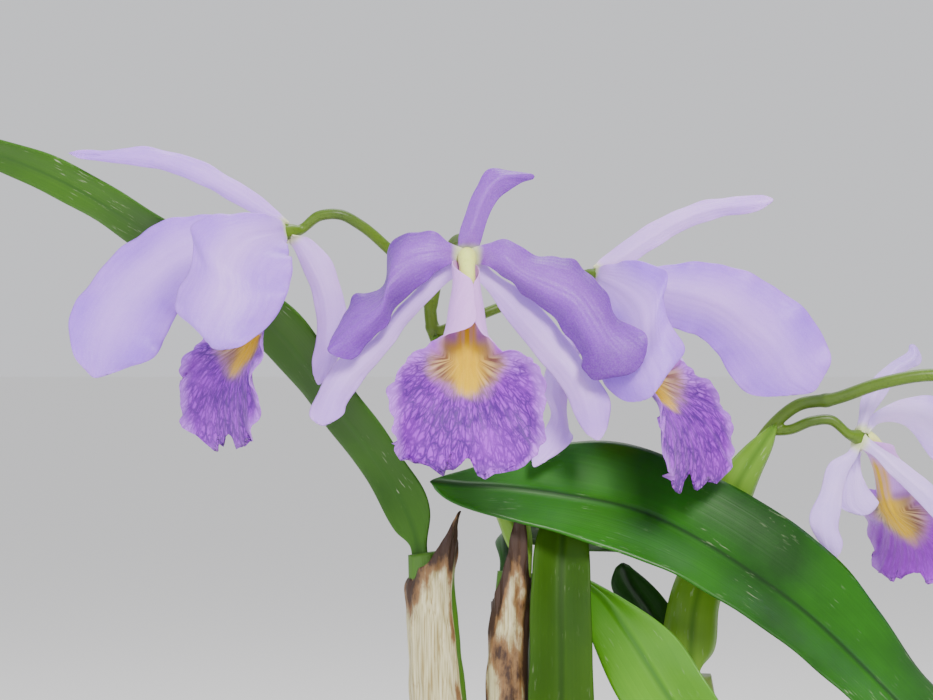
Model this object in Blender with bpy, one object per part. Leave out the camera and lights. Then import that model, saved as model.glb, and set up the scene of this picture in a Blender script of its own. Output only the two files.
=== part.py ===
"""Cattleya orchid in flower, standing in a plain round pot of bark.

Lengths are in millimetres and turned into metres when a mesh is made. The plant is laid out in
its own frame: x runs to the viewer's right from the middle bloom, y runs away from the viewer
and z runs up from the foot of the pot. PLANT_TO_POT then moves it over the pot's centre.
"""
import math
import random

import bpy
import numpy as np

MM = 0.001
GAP = 0.3
SEAT_GAP = 0.45
PLANT_TO_POT = np.array([-70.0, -20.0, 0.0])

POT_HEIGHT = 112.0
POT_RIM_RADIUS = 86.0
POT_FOOT_RADIUS = 66.0
POT_WALL = 3.0
POT_FLOOR = 4.0
POT_RIM_DEPTH = 14.0
POT_RIM_STEP = 4.0
POT_EDGE = 1.5
POT_SIDES = 40
DRAIN_HOLES = 4
DRAIN_HOLE_RADIUS = 5.0
DRAIN_HOLE_RING = 34.0

BARK_TOP = 98.0
CHIP_TRIES = 600
CHIP_SIZES = (4.5, 7.0)
CHIP_WIDTH = 0.6
CHIP_DEPTH = 0.38
CHIP_TAPER = 0.75
CHIP_LEAN = 0.3
CHIP_SPACING = 11.5
CHIP_ROOM = 8.5
CHIP_EDGE_ROOM = 9.0

RHIZOME_Z = 104.5
RHIZOME_RADIUS = 5.0
BRANCH_RADIUS = 4.6
SOCKET_FOOT = 103.5
SOCKET_TOP = 112.0
SOCKET_RIM = 0.3
ROOT_RADIUS = 1.6

SEPAL_THICK = 0.9
PETAL_THICK = 0.8
LIP_THICK = 0.8
LEAF_THICK = 1.8
SPATHE_THICK = 0.9

# How far a stem, a leaf and a spathe run straight up from the pseudobulb's top.
STEM_STALK = 5.0
LEAF_STALK = 3.0
SPATHE_STALK = 2.5
SPATHE_ROOT_HALF = 3.0

KNOB_RADIUS = 2.6
KNOB_HALF = 2.5
KNOB_LEAD = 6.0
BLADE_ROOT_HALF = 1.5
SEPAL_LAYER = -1.5
PETAL_LAYER = 0.4
LIP_LAYER = 1.6

# How a blade is made: how far in front of the knob's middle it stands, its thickness, and the
# rows and columns of points across it.
BLADE_MAKE = {
    "sepal": (SEPAL_LAYER, SEPAL_THICK, 10, 5),
    "petal": (PETAL_LAYER, PETAL_THICK, 12, 6),
}
LIP_ROWS, LIP_COLUMNS = 16, 11
LEAF_ROWS, LEAF_COLUMNS = 16, 5
SPATHE_ROWS, SPATHE_COLUMNS = 12, 5
TUBE_SIDES = 8
BULB_SIDES = 12
SHARP_ANGLE = math.radians(40)

COLORS = {
    "petal": (0.56, 0.44, 0.80),
    "sepal": (0.64, 0.54, 0.86),
    "lip": (0.50, 0.24, 0.70),
    "column": (0.78, 0.82, 0.52),
    "stem": (0.30, 0.42, 0.08),
    "spathe": (0.32, 0.48, 0.12),
    "leaf": (0.08, 0.25, 0.02),
    "pseudobulb": (0.20, 0.32, 0.08),
    "dry_sheath": (0.66, 0.58, 0.42),
    "rhizome": (0.33, 0.28, 0.16),
    "bark": (0.16, 0.08, 0.04),
    "pot": (0.50, 0.20, 0.10),
}

# Every blade is a net of points, root to tip, each row from one margin to the other. Rows are
# (x, y, z) offsets from the bloom's centre; the root row is added where the blade meets the stem.
MIDDLE_BLADES = {
    "dorsal_sepal": [
        [(-3, 0, 5), (0.5, -1, 5.5), (4.5, 0, 5)],
        [(-0.5, 1, 15), (3, -1, 14.5), (7, 1, 13.5)],
        [(3, 2, 24), (6.5, 0, 22.5), (10, 3, 19.5)],
        [(7, 3, 30), (11, 1, 27), (14.5, 4, 23)],
        [(14, 6, 30), (16, 3, 28), (18.5, 6, 26)],
        [(22, 8, 29), (22.7, 7.5, 28.3), (23.3, 8, 27.6)],
    ],
    "left_sepal": [
        [(-9, 2, -3.5), (-8.5, 1, -6), (-7, 2, -8.5)],
        [(-21, 5, -14), (-20, 3, -17.5), (-18.5, 5, -20.5)],
        [(-32, 5, -27), (-31, 2, -31), (-28.5, 4, -33.5)],
        [(-45, 3, -36), (-41, 0, -40), (-36.5, 3, -43)],
        [(-50.5, 2, -45), (-46, 0, -47.5), (-41, 2, -50)],
        [(-53.5, 1, -54), (-49, 0, -55), (-43, 1, -54)],
        [(-51, 0, -56.5), (-49, 0, -57), (-47, 0, -56.5)],
    ],
    "right_sepal": [
        [(6, 2, -10), (8, 1, -8), (9.5, 3, -5)],
        [(14.5, 4, -22), (18, 2, -18), (21.5, 5, -13)],
        [(25, 4, -35), (29.5, 2, -31), (33.5, 6, -27)],
        [(33.5, 3, -46), (38.5, 1, -41.5), (43.5, 5, -40)],
        [(38.5, 1, -57), (43, 0, -54), (49, 3, -51)],
        [(42, 0, -61.5), (44.5, 0, -62), (47, 0, -61)],
    ],
    "left_petal": [
        [(-6, -1, 5), (-6, -2.5, 2.5), (-6, -3, 0), (-5.5, -3, -2)],
        [(-10, -1, 8), (-11, -4, 3.5), (-11, -5, -1), (-9.5, -3, -4.5)],
        [(-19, -1, 9), (-21, -5, 2), (-20, -6, -5), (-16, -3, -9.5)],
        [(-24.5, 2, 6), (-25.5, -5, -3), (-26, -8, -10), (-23, -3, -16.5)],
        [(-30, 6, -9.5), (-28, -3, -12), (-29.5, -8, -18), (-29, -4, -24)],
        [(-40, 7, -14), (-39, 0, -19), (-39.5, -7, -26.5), (-36, -5, -32)],
        [(-43, 3, -23), (-46, -3, -27), (-47, -8, -32), (-41, -7, -37)],
    ],
    "right_petal": [
        [(7, -1, 5), (7.5, -2.5, 3), (7, -3, 0), (6, -3, -2.5)],
        [(12.5, -1, 6.5), (12.5, -4, 2.5), (11, -5, -1.5), (9, -3, -4)],
        [(20, 0, 2), (19, -4, -2), (17, -6, -6), (14.5, -2, -8.5)],
        [(30, 1, 0.5), (28, -5, -5), (25, -7, -10.5), (22, -2, -14)],
        [(39, 2, -2.5), (37.5, -5, -9), (35, -8, -16), (31, -2, -22.5)],
        [(46, 0, -11), (44.5, -7, -18), (41, -9, -25), (37.5, -3, -31)],
        [(52, -4, -21), (50, -8, -27), (46, -9, -33), (40, -5, -38)],
        [(60, -5, -26), (57, -8, -33), (51, -9, -38.5), (43.5, -6, -41.5)],
        [(61.5, -6, -31.5), (59, -7, -36), (55, -7.5, -39.5), (50, -7, -41)],
    ],
}

LEFT_BLADES = {
    "dorsal_sepal": [
        [(-3, 2, 8), (-4.5, 0, 5.5), (-5.5, 1, 3.5)],
        [(-15, 3, 17), (-17, 0, 13.5), (-19, 2, 11)],
        [(-32, 4, 26), (-33, 1, 22), (-33.5, 3, 18.5)],
        [(-49, 5, 29.5), (-49, 2, 26.5), (-49, 4, 23)],
        [(-64, 5, 28.5), (-65, 3, 27), (-66, 4, 25)],
        [(-75.5, 4, 28.5), (-75, 3.5, 27.5), (-74, 4, 26.3)],
    ],
    "near_sepal": [
        [(3, 3, -5), (5, 1.5, -3.5), (7, 3, -1.5)],
        [(6, 4, -12.5), (10.5, 2, -11.5), (15, 5, -8.5)],
        [(10, 5, -23), (15, 3, -22.5), (20, 6, -21)],
        [(11, 6, -35), (16, 4, -34), (21.5, 7, -32)],
        [(9.5, 7, -44.5), (15, 5, -45), (18.5, 7, -43.5)],
        [(9.5, 7, -51), (11.5, 7, -53), (13.5, 7, -52.5)],
    ],
    "far_sepal": [
        [(-7, 7, -5.5), (-5, 6, -7), (-3, 7, -8)],
        [(-18, 13, -18), (-14.5, 11, -20), (-11, 13, -22)],
        [(-25, 15, -32), (-20, 13, -34), (-15, 15, -36)],
        [(-29, 15, -45), (-24, 13, -47), (-19, 15, -48)],
        [(-29, 14, -54), (-27, 13, -56), (-24.5, 14, -55.5)],
    ],
    "near_petal": [
        [(-2, -8, 4.5), (-1, -8.5, 1.5), (0, -8, -1.5), (1.5, -7, -4)],
        [(-18, -18, 5.5), (-16, -22, -1), (-9, -22.5, -7), (3.5, -16, -9)],
        [(-30, -22, 1), (-23, -29, -8), (-12, -29.5, -15.5), (4.5, -23, -15)],
        [(-28.5, -25, -10.5), (-22, -31, -17), (-12, -32, -24), (2.5, -27, -23)],
        [(-34.5, -26, -21.5), (-26, -33, -27), (-16, -35, -32), (-2, -30, -31.5)],
        [(-33.5, -28, -27.5), (-27, -34, -32.5), (-19, -37, -38), (-9, -35, -38)],
        [(-26, -31, -33), (-24, -34, -37), (-20.5, -36, -40.5), (-16, -36, -41)],
    ],
    "far_petal": [
        [(-11, 5, 3), (-9, 4, 0), (-7, 5, -3)],
        [(-27, 10, 6.5), (-24, 6, -3), (-19, 9, -12)],
        [(-44, 12, 4), (-39, 7, -8), (-30, 12, -21)],
        [(-58, 13, -5), (-50, 7, -17), (-38, 12, -28)],
        [(-70.5, 12, -19.5), (-59, 7, -27), (-42, 10, -36)],
        [(-76, 10, -30.5), (-64, 7, -37.5), (-46, 8, -43.5)],
        [(-74, 9, -42), (-66, 8, -46), (-55, 8, -47)],
        [(-70, 9, -48.5), (-67, 9, -50.5), (-62.5, 9, -50)],
    ],
}

RIGHT_BLADES = {
    "dorsal_sepal": [
        [(1, 2, 6), (4, 0, 4), (7.5, 1, 2)],
        [(13, 3, 15), (15, 1, 11.5), (18.5, 2, 9)],
        [(26.5, 4, 23), (28, 1, 19.5), (31, 3, 16.5)],
        [(42, 4, 27.5), (42.5, 1, 24.5), (44, 3, 21)],
        [(53.5, 3, 28.5), (54.5, 1, 25.5), (54.5, 2, 22.5)],
        [(61, 2, 28.3), (62, 1, 26.8), (60.5, 1, 25)],
    ],
    "near_sepal": [
        [(-5, -1, -5), (-3.5, -2, -6.5), (-2, -1, -7.5)],
        [(-9, 2, -16.5), (-6, 0, -18.5), (-2, 3, -20)],
        [(-16.5, 0, -28.5), (-12, -2, -30), (-8, 1, -31)],
        [(-19.5, -3, -39), (-15, -5, -41), (-11, -2, -42)],
        [(-17, -8, -49.5), (-13.5, -10, -51), (-10.5, -7, -53)],
        [(-21, -13, -57), (-16, -14, -58.5), (-9.5, -12, -57.5)],
        [(-25, -17, -65), (-23, -18, -66.5), (-19.5, -17, -65.5)],
    ],
    "far_sepal": [
        [(6, 5, -4.5), (4, 4, -7), (1.5, 5, -8.5)],
        [(18, 10, -14), (14, 8, -18), (10, 10, -21)],
        [(30, 12, -28), (25, 10, -32), (20, 12, -35)],
        [(38, 12, -42), (33, 10, -45), (28, 12, -47)],
        [(42, 11, -54), (39, 10, -56), (36, 11, -56)],
    ],
    "near_petal": [
        [(2, -8, 3.5), (1, -8.5, 0.5), (0, -8, -2.5), (-1.5, -7, -4.5)],
        [(13, -18, 4.5), (12, -22, -3), (5, -21, -9), (-3, -15, -11.5)],
        [(22.5, -26, 0.5), (18, -29, -8), (9, -28, -17), (-4, -21, -20)],
        [(21, -29, -8), (18, -32, -16), (10, -32, -25), (-3.5, -25, -28.5)],
        [(22.5, -34, -17), (18, -38, -25), (10.5, -36, -32), (0, -28, -36.5)],
        [(27.5, -36, -26), (21, -40.5, -32), (13, -39, -38), (5.5, -31, -42)],
        [(23, -39, -33), (19, -41, -38), (16, -40.5, -42), (13, -37, -45)],
    ],
    "far_petal": [
        [(12, 6, 2), (11, 4, -2), (9, 6, -6)],
        [(31, 11, 5), (28, 6, -5), (24, 10, -17)],
        [(48, 13, 4), (42, 7, -9), (35, 11, -20.5)],
        [(65.5, 13, -4.5), (55, 8, -18), (43, 11, -27)],
        [(77, 12, -14.5), (63.5, 8, -26), (48, 10, -35.5)],
        [(83.5, 11, -27), (69.5, 8, -35.5), (55, 9, -42)],
        [(82, 10, -37.5), (77, 9, -41), (69, 9, -43)],
    ],
}

FAR_BLADES = {
    "dorsal_sepal": [
        [(-1.5, 0, 4.5), (0.5, -1, 5), (2.5, 1, 4.5)],
        [(0.5, 1, 14), (3.5, -1, 13.5), (7, 1, 12.5)],
        [(4.5, 2, 21), (8, 0, 19.5), (11.5, 2, 18.5)],
        [(10.5, 3, 26.5), (13, 1, 25), (17, 3, 24)],
        [(17.5, 3, 31), (19.5, 2, 29.5), (22, 4, 28)],
        [(18, 4, 34), (19.3, 3.5, 33.4), (20.5, 4, 33)],
    ],
    "left_sepal": [
        [(-4.5, -1, -4.5), (-3, -2, -5.5), (-1.5, -1, -6.5)],
        [(-11.5, -2, -9), (-8, -3, -10.5), (-4.5, -1.5, -12)],
        [(-15, -3, -19), (-11, -4, -20), (-7, -2, -21)],
        [(-19, -4, -30), (-13, -5, -31), (-8.5, -3, -32.5)],
        [(-15, -4, -38), (-12, -5, -38.5), (-7, -4, -38)],
        [(-11, -4, -42.5), (-9.8, -4.3, -43), (-8.5, -4, -42.5)],
    ],
    "right_sepal": [
        [(3, -2.5, -0.5), (3, -3.5, -3), (2, -3, -5)],
        [(14, -3, -8), (12.5, -5, -11), (10, -4, -13)],
        [(26, -4, -17.5), (24, -6, -21), (21, -5, -24)],
        [(38, -5, -29), (35, -6, -33), (31, -5, -35)],
        [(47, -4, -42), (44, -5, -44), (40, -4, -45)],
        [(49.5, -3, -50), (48, -4, -51), (46, -3, -51)],
    ],
    "left_petal": [
        [(-3, 4, -5), (-1, 3, -6), (0.5, 3.5, -6.5)],
        [(-8, 4, -16), (-3, 3, -17), (1.5, 3.5, -15.5)],
        [(-9, 4, -23), (-2, 3, -24.5), (5, 3.5, -20.5)],
        [(-4, 4, -27), (2, 3.5, -28), (8, 4, -24.5)],
    ],
    "right_petal": [
        [(4, 4, 7.8), (5.5, 3.5, 6.5), (7, 4, 5)],
        [(14, 7, 13), (15.5, 6, 8.5), (16.5, 6.5, 4.5)],
        [(27, 9, 15), (27, 6, 4.5), (26, 7, -7)],
        [(42, 9, 9.5), (38.5, 6, -2.5), (33, 7, -15)],
        [(50, 8, -4), (44, 6, -13), (36, 7, -22)],
        [(51, 7, -16), (46, 6, -21), (40, 7, -26)],
        [(47.5, 7, -25.5), (45, 7, -27), (42.5, 7, -28)],
    ],
}

# A bloom: its centre, the way it faces, how far its lip reaches forward and hangs down
# (1 is the middle bloom's), and its blades.
BLOOMS = {
    "bloom_left": ((-63.1, 15.0, 360.8), (-0.82, -0.56, -0.12), 0.95, 1.0, LEFT_BLADES),
    "bloom_middle": ((0.2, 0.0, 351.3), (0.0, -1.0, 0.0), 1.0, 1.0, MIDDLE_BLADES),
    "bloom_right": ((46.4, 34.0, 346.1), (0.82, -0.56, -0.06), 1.35, 1.0, RIGHT_BLADES),
    "bloom_far": ((141.7, 50.0, 288.4), (0.76, 0.60, -0.22), 1.25, 0.62, FAR_BLADES),
}

# The lip's midline, (forward, up) from the bloom's centre, with the half arc across it and the
# angle in degrees that each side curls through: a tube over the column, then a broad flat lobe.
LIP_STATIONS = [
    (LIP_LAYER, -KNOB_RADIUS - GAP - LIP_THICK / 2, 4.1, 70),
    (6.0, -4.4, 8.2, 108),
    (8.8, -11.0, 12.5, 145),
    (11.5, -20.5, 15.5, 150),
    (14.5, -28.5, 18.5, 140),
    (20.0, -34.5, 19.8, 85),
    (25.5, -42.0, 23.0, 42),
    (29.0, -51.0, 25.5, 22),
    (31.0, -60.0, 25.0, 18),
    (31.0, -68.0, 20.0, 16),
    (30.5, -75.0, 11.0, 12),
]
LIP_RUFFLE = 1.3
LIP_RUFFLE_WAVES = 4.5
LIP_RUFFLE_START = 0.45
COLUMN_PATH = [(3.4, -0.2), (8.0, -1.8), (12.0, -6.5), (14.0, -13.0)]
COLUMN_RADII = [2.0, 2.8, 3.0, 2.0]

# Pseudobulb: path of its centre line from the rhizome up, and its radius at each point.
PSEUDOBULBS = {
    "pseudobulb_1": (
        [(12, 24, 112.3), (12, 24, 119), (4, 25, 138), (-5, 25, 165), (-10, 25, 200), (-12, 25, 228),
         (-15, 26, 249)],
        [4.0, 5.6, 8.5, 10.0, 9.0, 8.0, 5.5],
    ),
    "pseudobulb_2": (
        [(31, 28, 112.3), (31, 28, 120), (24, 28, 145), (16, 28, 185), (15, 28, 215), (17, 29, 242)],
        [4.0, 5.4, 7.5, 8.0, 6.8, 6.2],
    ),
    "pseudobulb_3": (
        [(52, 14, 112.3), (52, 14, 119), (44, 17, 133), (36, 20, 150)],
        [4.0, 6.0, 8.5, 5.5],
    ),
    "pseudobulb_4": (
        [(84, 42, 112.3), (84, 42, 120), (86, 44, 142), (83, 44, 175), (79, 43, 203)],
        [4.5, 6.5, 10.0, 9.5, 8.5],
    ),
    "pseudobulb_5": (
        [(96, 8, 112.3), (96, 8, 118), (94, 8, 133), (90, 8, 150)],
        [4.0, 6.4, 9.5, 5.5],
    ),
    "pseudobulb_6": (
        [(119, 12, 112.3), (119, 12, 118), (138, 9, 127), (157, 5, 135), (167, 3, 149)],
        [4.5, 5.4, 10.0, 9.0, 5.5],
    ),
}
SHEATHED = {
    "pseudobulb_1": [(-10, 22, 238), (-7, 21, 251), (-7, 22, 261), (-9, 23, 268)],
    "pseudobulb_2": [(16, 25, 224), (17, 22.5, 238), (15.5, 22, 249), (17.5, 22.5, 257)],
}
SHEATH_TIP_RADII = [3.6, 3.2, 2.2, 0.6]
SHEATH_TIP_FLAT = 0.6

# Leaf: the pseudobulb that bears it, where its root stands on that pseudobulb's top, the
# half width there, and rows of (left margin, rib, right margin).
LEAVES = {
    "leaf_a": (
        "pseudobulb_1", (-1.5, 2.0), 3.4,
        [
            [(-25, 33, 256), (-19, 29, 259), (-13, 24, 263)],
            [(-36, 42, 275), (-30, 35, 279), (-23, 26, 283)],
            [(-54, 48, 298), (-48, 39, 303), (-40, 28, 307)],
            [(-74, 50, 321), (-67, 41, 327), (-58, 29, 331)],
            [(-100, 50, 343), (-93, 41, 349), (-85, 29, 352)],
            [(-122, 48, 359), (-116, 39, 364), (-108, 29, 367)],
            [(-151, 44, 377), (-146, 37, 382), (-140, 28, 385.5)],
            [(-173, 40, 386), (-170, 34, 391), (-166, 27, 394.5)],
            [(-196, 36, 391), (-196, 32, 395), (-195, 27, 398)],
            [(-212, 32, 393), (-213, 30.5, 394), (-213.5, 29, 395.5)],
        ],
    ),
    "leaf_b": (
        "pseudobulb_6", (0.0, 0.0), 4.5,
        [
            [(163, 0, 161), (171, 3, 160), (179, 7, 161)],
            [(146, 4, 183), (162, 12, 181), (180, 22, 183)],
            [(129, 8, 203), (144.5, 22, 202), (162, 37, 205)],
            [(112, 9, 217), (128, 25, 218.5), (146, 40, 228)],
            [(92, 9, 231.5), (110, 26, 234), (131, 40, 246.5)],
            [(72, 10, 242.5), (89, 27, 248.5), (110, 40, 262.5)],
            [(45, 12, 253), (60, 28, 263), (79, 40, 279)],
            [(20, 12, 260), (33.5, 24, 269), (49, 36, 288)],
            [(2, 12, 265), (12, 20, 272), (18, 29, 284)],
            [(-8, 13, 269), (-4, 16, 273), (-1, 20, 278)],
            [(-12.2, 14, 273), (-12.7, 14.8, 274.3), (-12, 15.5, 275.6)],
        ],
    ),
    "leaf_c": (
        "pseudobulb_3", (0.0, 0.0), 4.5,
        [
            [(25, 17, 166), (33.5, 21, 165), (42, 17, 166)],
            [(21.5, 15, 190), (33, 20, 190), (44, 15, 190)],
            [(22, 15, 215), (33, 20, 215), (43.5, 15, 215)],
            [(22.5, 17, 240), (33, 23, 240), (43, 18, 240)],
            [(25, 24, 256), (34, 29, 257), (42.5, 25, 255)],
            [(29, 31, 266), (36, 35, 268), (42, 33, 263)],
            [(34.5, 36, 272), (36, 36.5, 272.5), (37.5, 36.5, 271.5)],
        ],
    ),
    "leaf_d": (
        "pseudobulb_5", (0.0, 0.0), 4.5,
        [
            [(79, 8, 163), (87, 11, 164), (95, 6, 165)],
            [(66, 13, 180), (80, 14, 184), (92, 7, 188)],
            [(52, 23, 200), (68, 20, 204), (81, 11, 208)],
            [(44, 28, 218), (57, 26, 221), (70, 19, 223)],
            [(39, 31, 232), (47.5, 30, 234), (55, 26, 233)],
            [(36, 32, 240.5), (37.5, 32, 241.5), (39.5, 31.5, 241)],
        ],
    ),
    "leaf_e": (
        "pseudobulb_2", (-2.5, 3.6), 3.0,
        [
            [(11, 42, 252), (15, 40, 256), (19, 39, 259)],
            [(33, 54, 248), (34, 53, 257), (36, 51, 265)],
            [(60, 62, 246), (60, 60, 255), (60, 58, 264)],
            [(90, 68, 240), (88, 66, 249), (86, 64, 257)],
            [(115, 72, 227), (111, 70, 235), (107, 68, 242)],
            [(131, 75, 212), (129.5, 74.5, 214), (128, 74, 216)],
        ],
    ),
    "leaf_f": (
        "pseudobulb_4", (-4.0, 4.2), 3.0,
        [
            [(66, 48, 211), (72, 49, 213), (78, 50, 215)],
            [(57, 51, 226), (65, 52.5, 227), (73, 53.5, 228)],
            [(52, 53, 236), (58, 54.5, 237), (65, 55, 237)],
            [(54, 54.5, 242.5), (56, 55, 243), (58, 55.5, 242.5)],
        ],
    ),
}

# Flower stems: the pseudobulb that bears each, where it stands on the top, the peduncle's route
# from there, and the pedicels that leave it.
STEM_1 = (
    "pseudobulb_2", (2.2, -0.4),
    [(17.5, 32.5, 258), (12, 37, 272), (4, 38, 292), (-6, 36, 314), (-12, 32, 328), (-13, 30, 338)],
)
PEDICEL_LEFT = [(-12.5, 30, 334), (-16.5, 29, 343), (-21.6, 27, 349.5), (-28.5, 24, 356.5),
                (-37, 20, 363.5), (-44, 18, 367), (-51, 18, 366.5)]
PEDICEL_MIDDLE = [(-12.5, 30, 333), (-9.5, 30, 347), (-4.5, 25, 357.5), (-1, 15, 358)]
PEDICEL_RIGHT = [(-11, 30, 326), (-3, 31, 329), (9, 34, 334), (22, 37, 339), (33, 39, 344)]
STEM_2 = (
    "pseudobulb_4", (2.2, 0.2),
    [(83, 45.5, 222), (91, 50.5, 252), (101.5, 52, 280), (110.5, 49.5, 293.5), (119, 45, 300.5),
     (130, 40, 302.5), (146.5, 34, 308.3), (165, 31, 311.2), (179, 30, 309), (190, 29, 302)],
)
PEDICEL_FAR = [(108, 50, 291), (116, 48, 291.5), (123.5, 46, 294.5), (130, 45.5, 295)]
PEDUNCLE_RADIUS = 2.3
PEDICEL_RADIUS = 1.9
BUD_PATH = [(190.4, 29, 301.6), (194, 28.7, 299), (200, 28, 293), (206, 27, 285), (209, 26.5, 279)]
BUD_RADII = [2.4, 4.4, 6.2, 4.6, 0.8]

# Spathe: the flat sheath in front of a flower stem, as (x, y, z, half width, depth of fold).
SPATHE_1 = [(17.5, 27.5, 256, 5.0, 4.5), (11, 32.5, 274, 6.0, 4.5), (1.5, 33.5, 297, 5.5, 4.0),
            (-6, 31.5, 315, 4.2, 3.0), (-11, 28, 325, 1.0, 0.6)]
SPATHE_2 = [(79.5, 39, 213, 8.5, 4.5), (81, 41, 228, 9.0, 4.5), (87.5, 45, 247, 8.5, 4.5),
            (98, 47.5, 274, 7.0, 4.0), (106, 46, 287, 4.0, 2.5), (110, 45, 293, 1.0, 0.6)]
SPATHES = {
    "spathe_1": ("pseudobulb_2", (2.6, -4.6), SPATHE_1),
    "spathe_2": ("pseudobulb_4", (0.8, -5.2), SPATHE_2),
}

RHIZOME_PATH = [(6, 24, RHIZOME_Z), (31, 27, RHIZOME_Z), (52, 18, RHIZOME_Z), (72, 22, RHIZOME_Z),
                (96, 12, RHIZOME_Z), (119, 12, RHIZOME_Z), (130, 14, RHIZOME_Z)]
RHIZOME_BRANCH = [(72, 22, RHIZOME_Z), (78, 32, RHIZOME_Z), (84, 43, RHIZOME_Z)]
ROOT_Z = BARK_TOP + ROOT_RADIUS + GAP
ROOTS = [
    [(12, 24, 103), (10, 8, 101), (18, -12, ROOT_Z), (26, -26, ROOT_Z)],
    [(31, 28, 103), (30, 45, 101), (22, 58, ROOT_Z), (26, 70, ROOT_Z)],
    [(52, 18, 103), (56, 0, 101), (50, -18, ROOT_Z), (58, -34, ROOT_Z)],
    [(84, 42, 103), (92, 56, 101), (88, 68, ROOT_Z), (96, 76, ROOT_Z)],
    [(96, 12, 103), (92, -8, 101), (100, -24, ROOT_Z), (96, -36, ROOT_Z)],
    [(119, 12, 103), (124, -6, 101), (118, -18, ROOT_Z), (126, -26, ROOT_Z)],
]


def clear_scene():
    for old in list(bpy.data.objects):
        bpy.data.objects.remove(old, do_unlink=True)


def material_for(kind):
    found = bpy.data.materials.get(kind)
    if found:
        return found
    made = bpy.data.materials.new(kind)
    made.use_nodes = True
    shader = made.node_tree.nodes["Principled BSDF"]
    shader.inputs["Base Color"].default_value = (*COLORS[kind], 1.0)
    shader.inputs["Roughness"].default_value = 0.45
    shader.inputs["Metallic"].default_value = 0.0
    return made


def unit(vector):
    vector = np.asarray(vector, float)
    return vector / np.linalg.norm(vector)


def add_object(name, points, faces, kind, shift=PLANT_TO_POT):
    """Turn points in millimetres into an object named name."""
    mesh = bpy.data.meshes.new(name)
    located = (np.asarray(points) + shift) * MM
    mesh.from_pydata(located.tolist(), [], faces)
    mesh.update()
    mesh.shade_smooth()
    mesh.set_sharp_from_angle(angle=SHARP_ANGLE)
    made = bpy.data.objects.new(name, mesh)
    made.data.materials.append(material_for(kind))
    bpy.context.scene.collection.objects.link(made)
    return made


def fuse(target, others):
    """Join others to target with one Boolean union and remove them."""
    gathered = bpy.data.collections.new("gathered")
    bpy.context.scene.collection.children.link(gathered)
    for other in others:
        gathered.objects.link(other)
    union = target.modifiers.new("union", "BOOLEAN")
    union.operation = "UNION"
    union.operand_type = "COLLECTION"
    union.collection = gathered
    union.solver = "EXACT"
    bpy.context.view_layer.update()
    shaped = target.evaluated_get(bpy.context.evaluated_depsgraph_get())
    joined = bpy.data.meshes.new_from_object(shaped)
    target.modifiers.remove(union)
    target.data = joined
    for other in others:
        bpy.data.objects.remove(other, do_unlink=True)
    bpy.data.collections.remove(gathered)
    return target


def smooth_curve(points, count, measured=3):
    """Read a smooth curve through points at count places, spread evenly from point to point.

    Each point's slope is weighed by the lengths of the runs beside it, so that a short run next
    to a long one doesn't overshoot. The first measured values of a point are its place.
    """
    points = np.asarray(points, float)
    runs = np.linalg.norm(np.diff(points[..., :measured], axis=0), axis=-1)
    runs = runs.reshape(len(runs), -1).mean(axis=1)
    shape = (-1,) + (1,) * (points.ndim - 1)
    before, after = runs[:-1].reshape(shape), runs[1:].reshape(shape)
    steepness = np.diff(points, axis=0) / runs.reshape(shape)
    inner = (steepness[:-1] * after + steepness[1:] * before) / (before + after)
    slopes = np.concatenate([steepness[:1], inner, steepness[-1:]])
    rows = []
    for place in np.linspace(0, len(points) - 1, count):
        k = min(int(place), len(points) - 2)
        t = place - k
        rows.append((1 + 2 * t) * (1 - t)**2 * points[k] + t * (1 - t)**2 * runs[k] * slopes[k]
                    + t**2 * (3 - 2 * t) * points[k + 1] - t**2 * (1 - t) * runs[k] * slopes[k + 1])
    return np.array(rows)


def smooth_net(net, rows, columns):
    """A grid of rows by columns points on the smooth sheet through a net of points."""
    along = smooth_curve(net, rows)
    across = smooth_curve(np.swapaxes(along, 0, 1), columns)
    return np.swapaxes(across, 0, 1)


def sheet_normals(grid):
    lengthwise = np.gradient(grid, axis=0)
    crosswise = np.gradient(grid, axis=1)
    normals = np.cross(lengthwise, crosswise)
    return normals / np.linalg.norm(normals, axis=2, keepdims=True)


def sheet_solid(name, grid, thick, kind):
    """Close a grid of points into a blade of even thickness, split alike on both faces."""
    rows, columns = grid.shape[:2]
    normals = sheet_normals(grid)
    upper = (grid + normals * thick / 2).reshape(-1, 3)
    lower = (grid - normals * thick / 2).reshape(-1, 3)
    points = np.concatenate([upper, lower])
    count = rows * columns
    faces = []
    for i in range(rows - 1):
        for j in range(columns - 1):
            a = i * columns + j
            b, c, d = a + 1, a + columns + 1, a + columns
            faces += [(a, c, b), (a, d, c)]
            faces += [(count + a, count + b, count + c), (count + a, count + c, count + d)]
    rim = list(range(columns))
    rim += [i * columns + columns - 1 for i in range(1, rows)]
    rim += [(rows - 1) * columns + j for j in range(columns - 2, -1, -1)]
    rim += [i * columns for i in range(rows - 2, 0, -1)]
    for a, b in zip(rim, rim[1:] + rim[:1]):
        faces += [(a, b, count + b), (a, count + b, count + a)]
    return add_object(name, points, faces, kind)


def tube_rings(path, radii, ends, sides, flat=1.0):
    """Rings of points round a path, carried along it without twisting.

    ends holds the path's directions at its start and finish, which the flat caps stand square to.
    """
    tangents = np.gradient(path, axis=0)
    tangents[0], tangents[-1] = ends
    tangents /= np.linalg.norm(tangents, axis=1, keepdims=True)
    start = np.array([0.0, 1.0, 0.0]) if abs(tangents[0][1]) < 0.9 else np.array([1.0, 0.0, 0.0])
    side = unit(np.cross(tangents[0], start))
    turns = np.arange(sides) * 2 * math.pi / sides
    rings = []
    for point, tangent, radius in zip(path, tangents, radii):
        side = unit(side - tangent * np.dot(side, tangent))
        other = np.cross(tangent, side)
        round_it = np.outer(np.cos(turns), side) + flat * np.outer(np.sin(turns), other)
        rings.append(point + radius * round_it)
    return np.array(rings)


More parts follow.
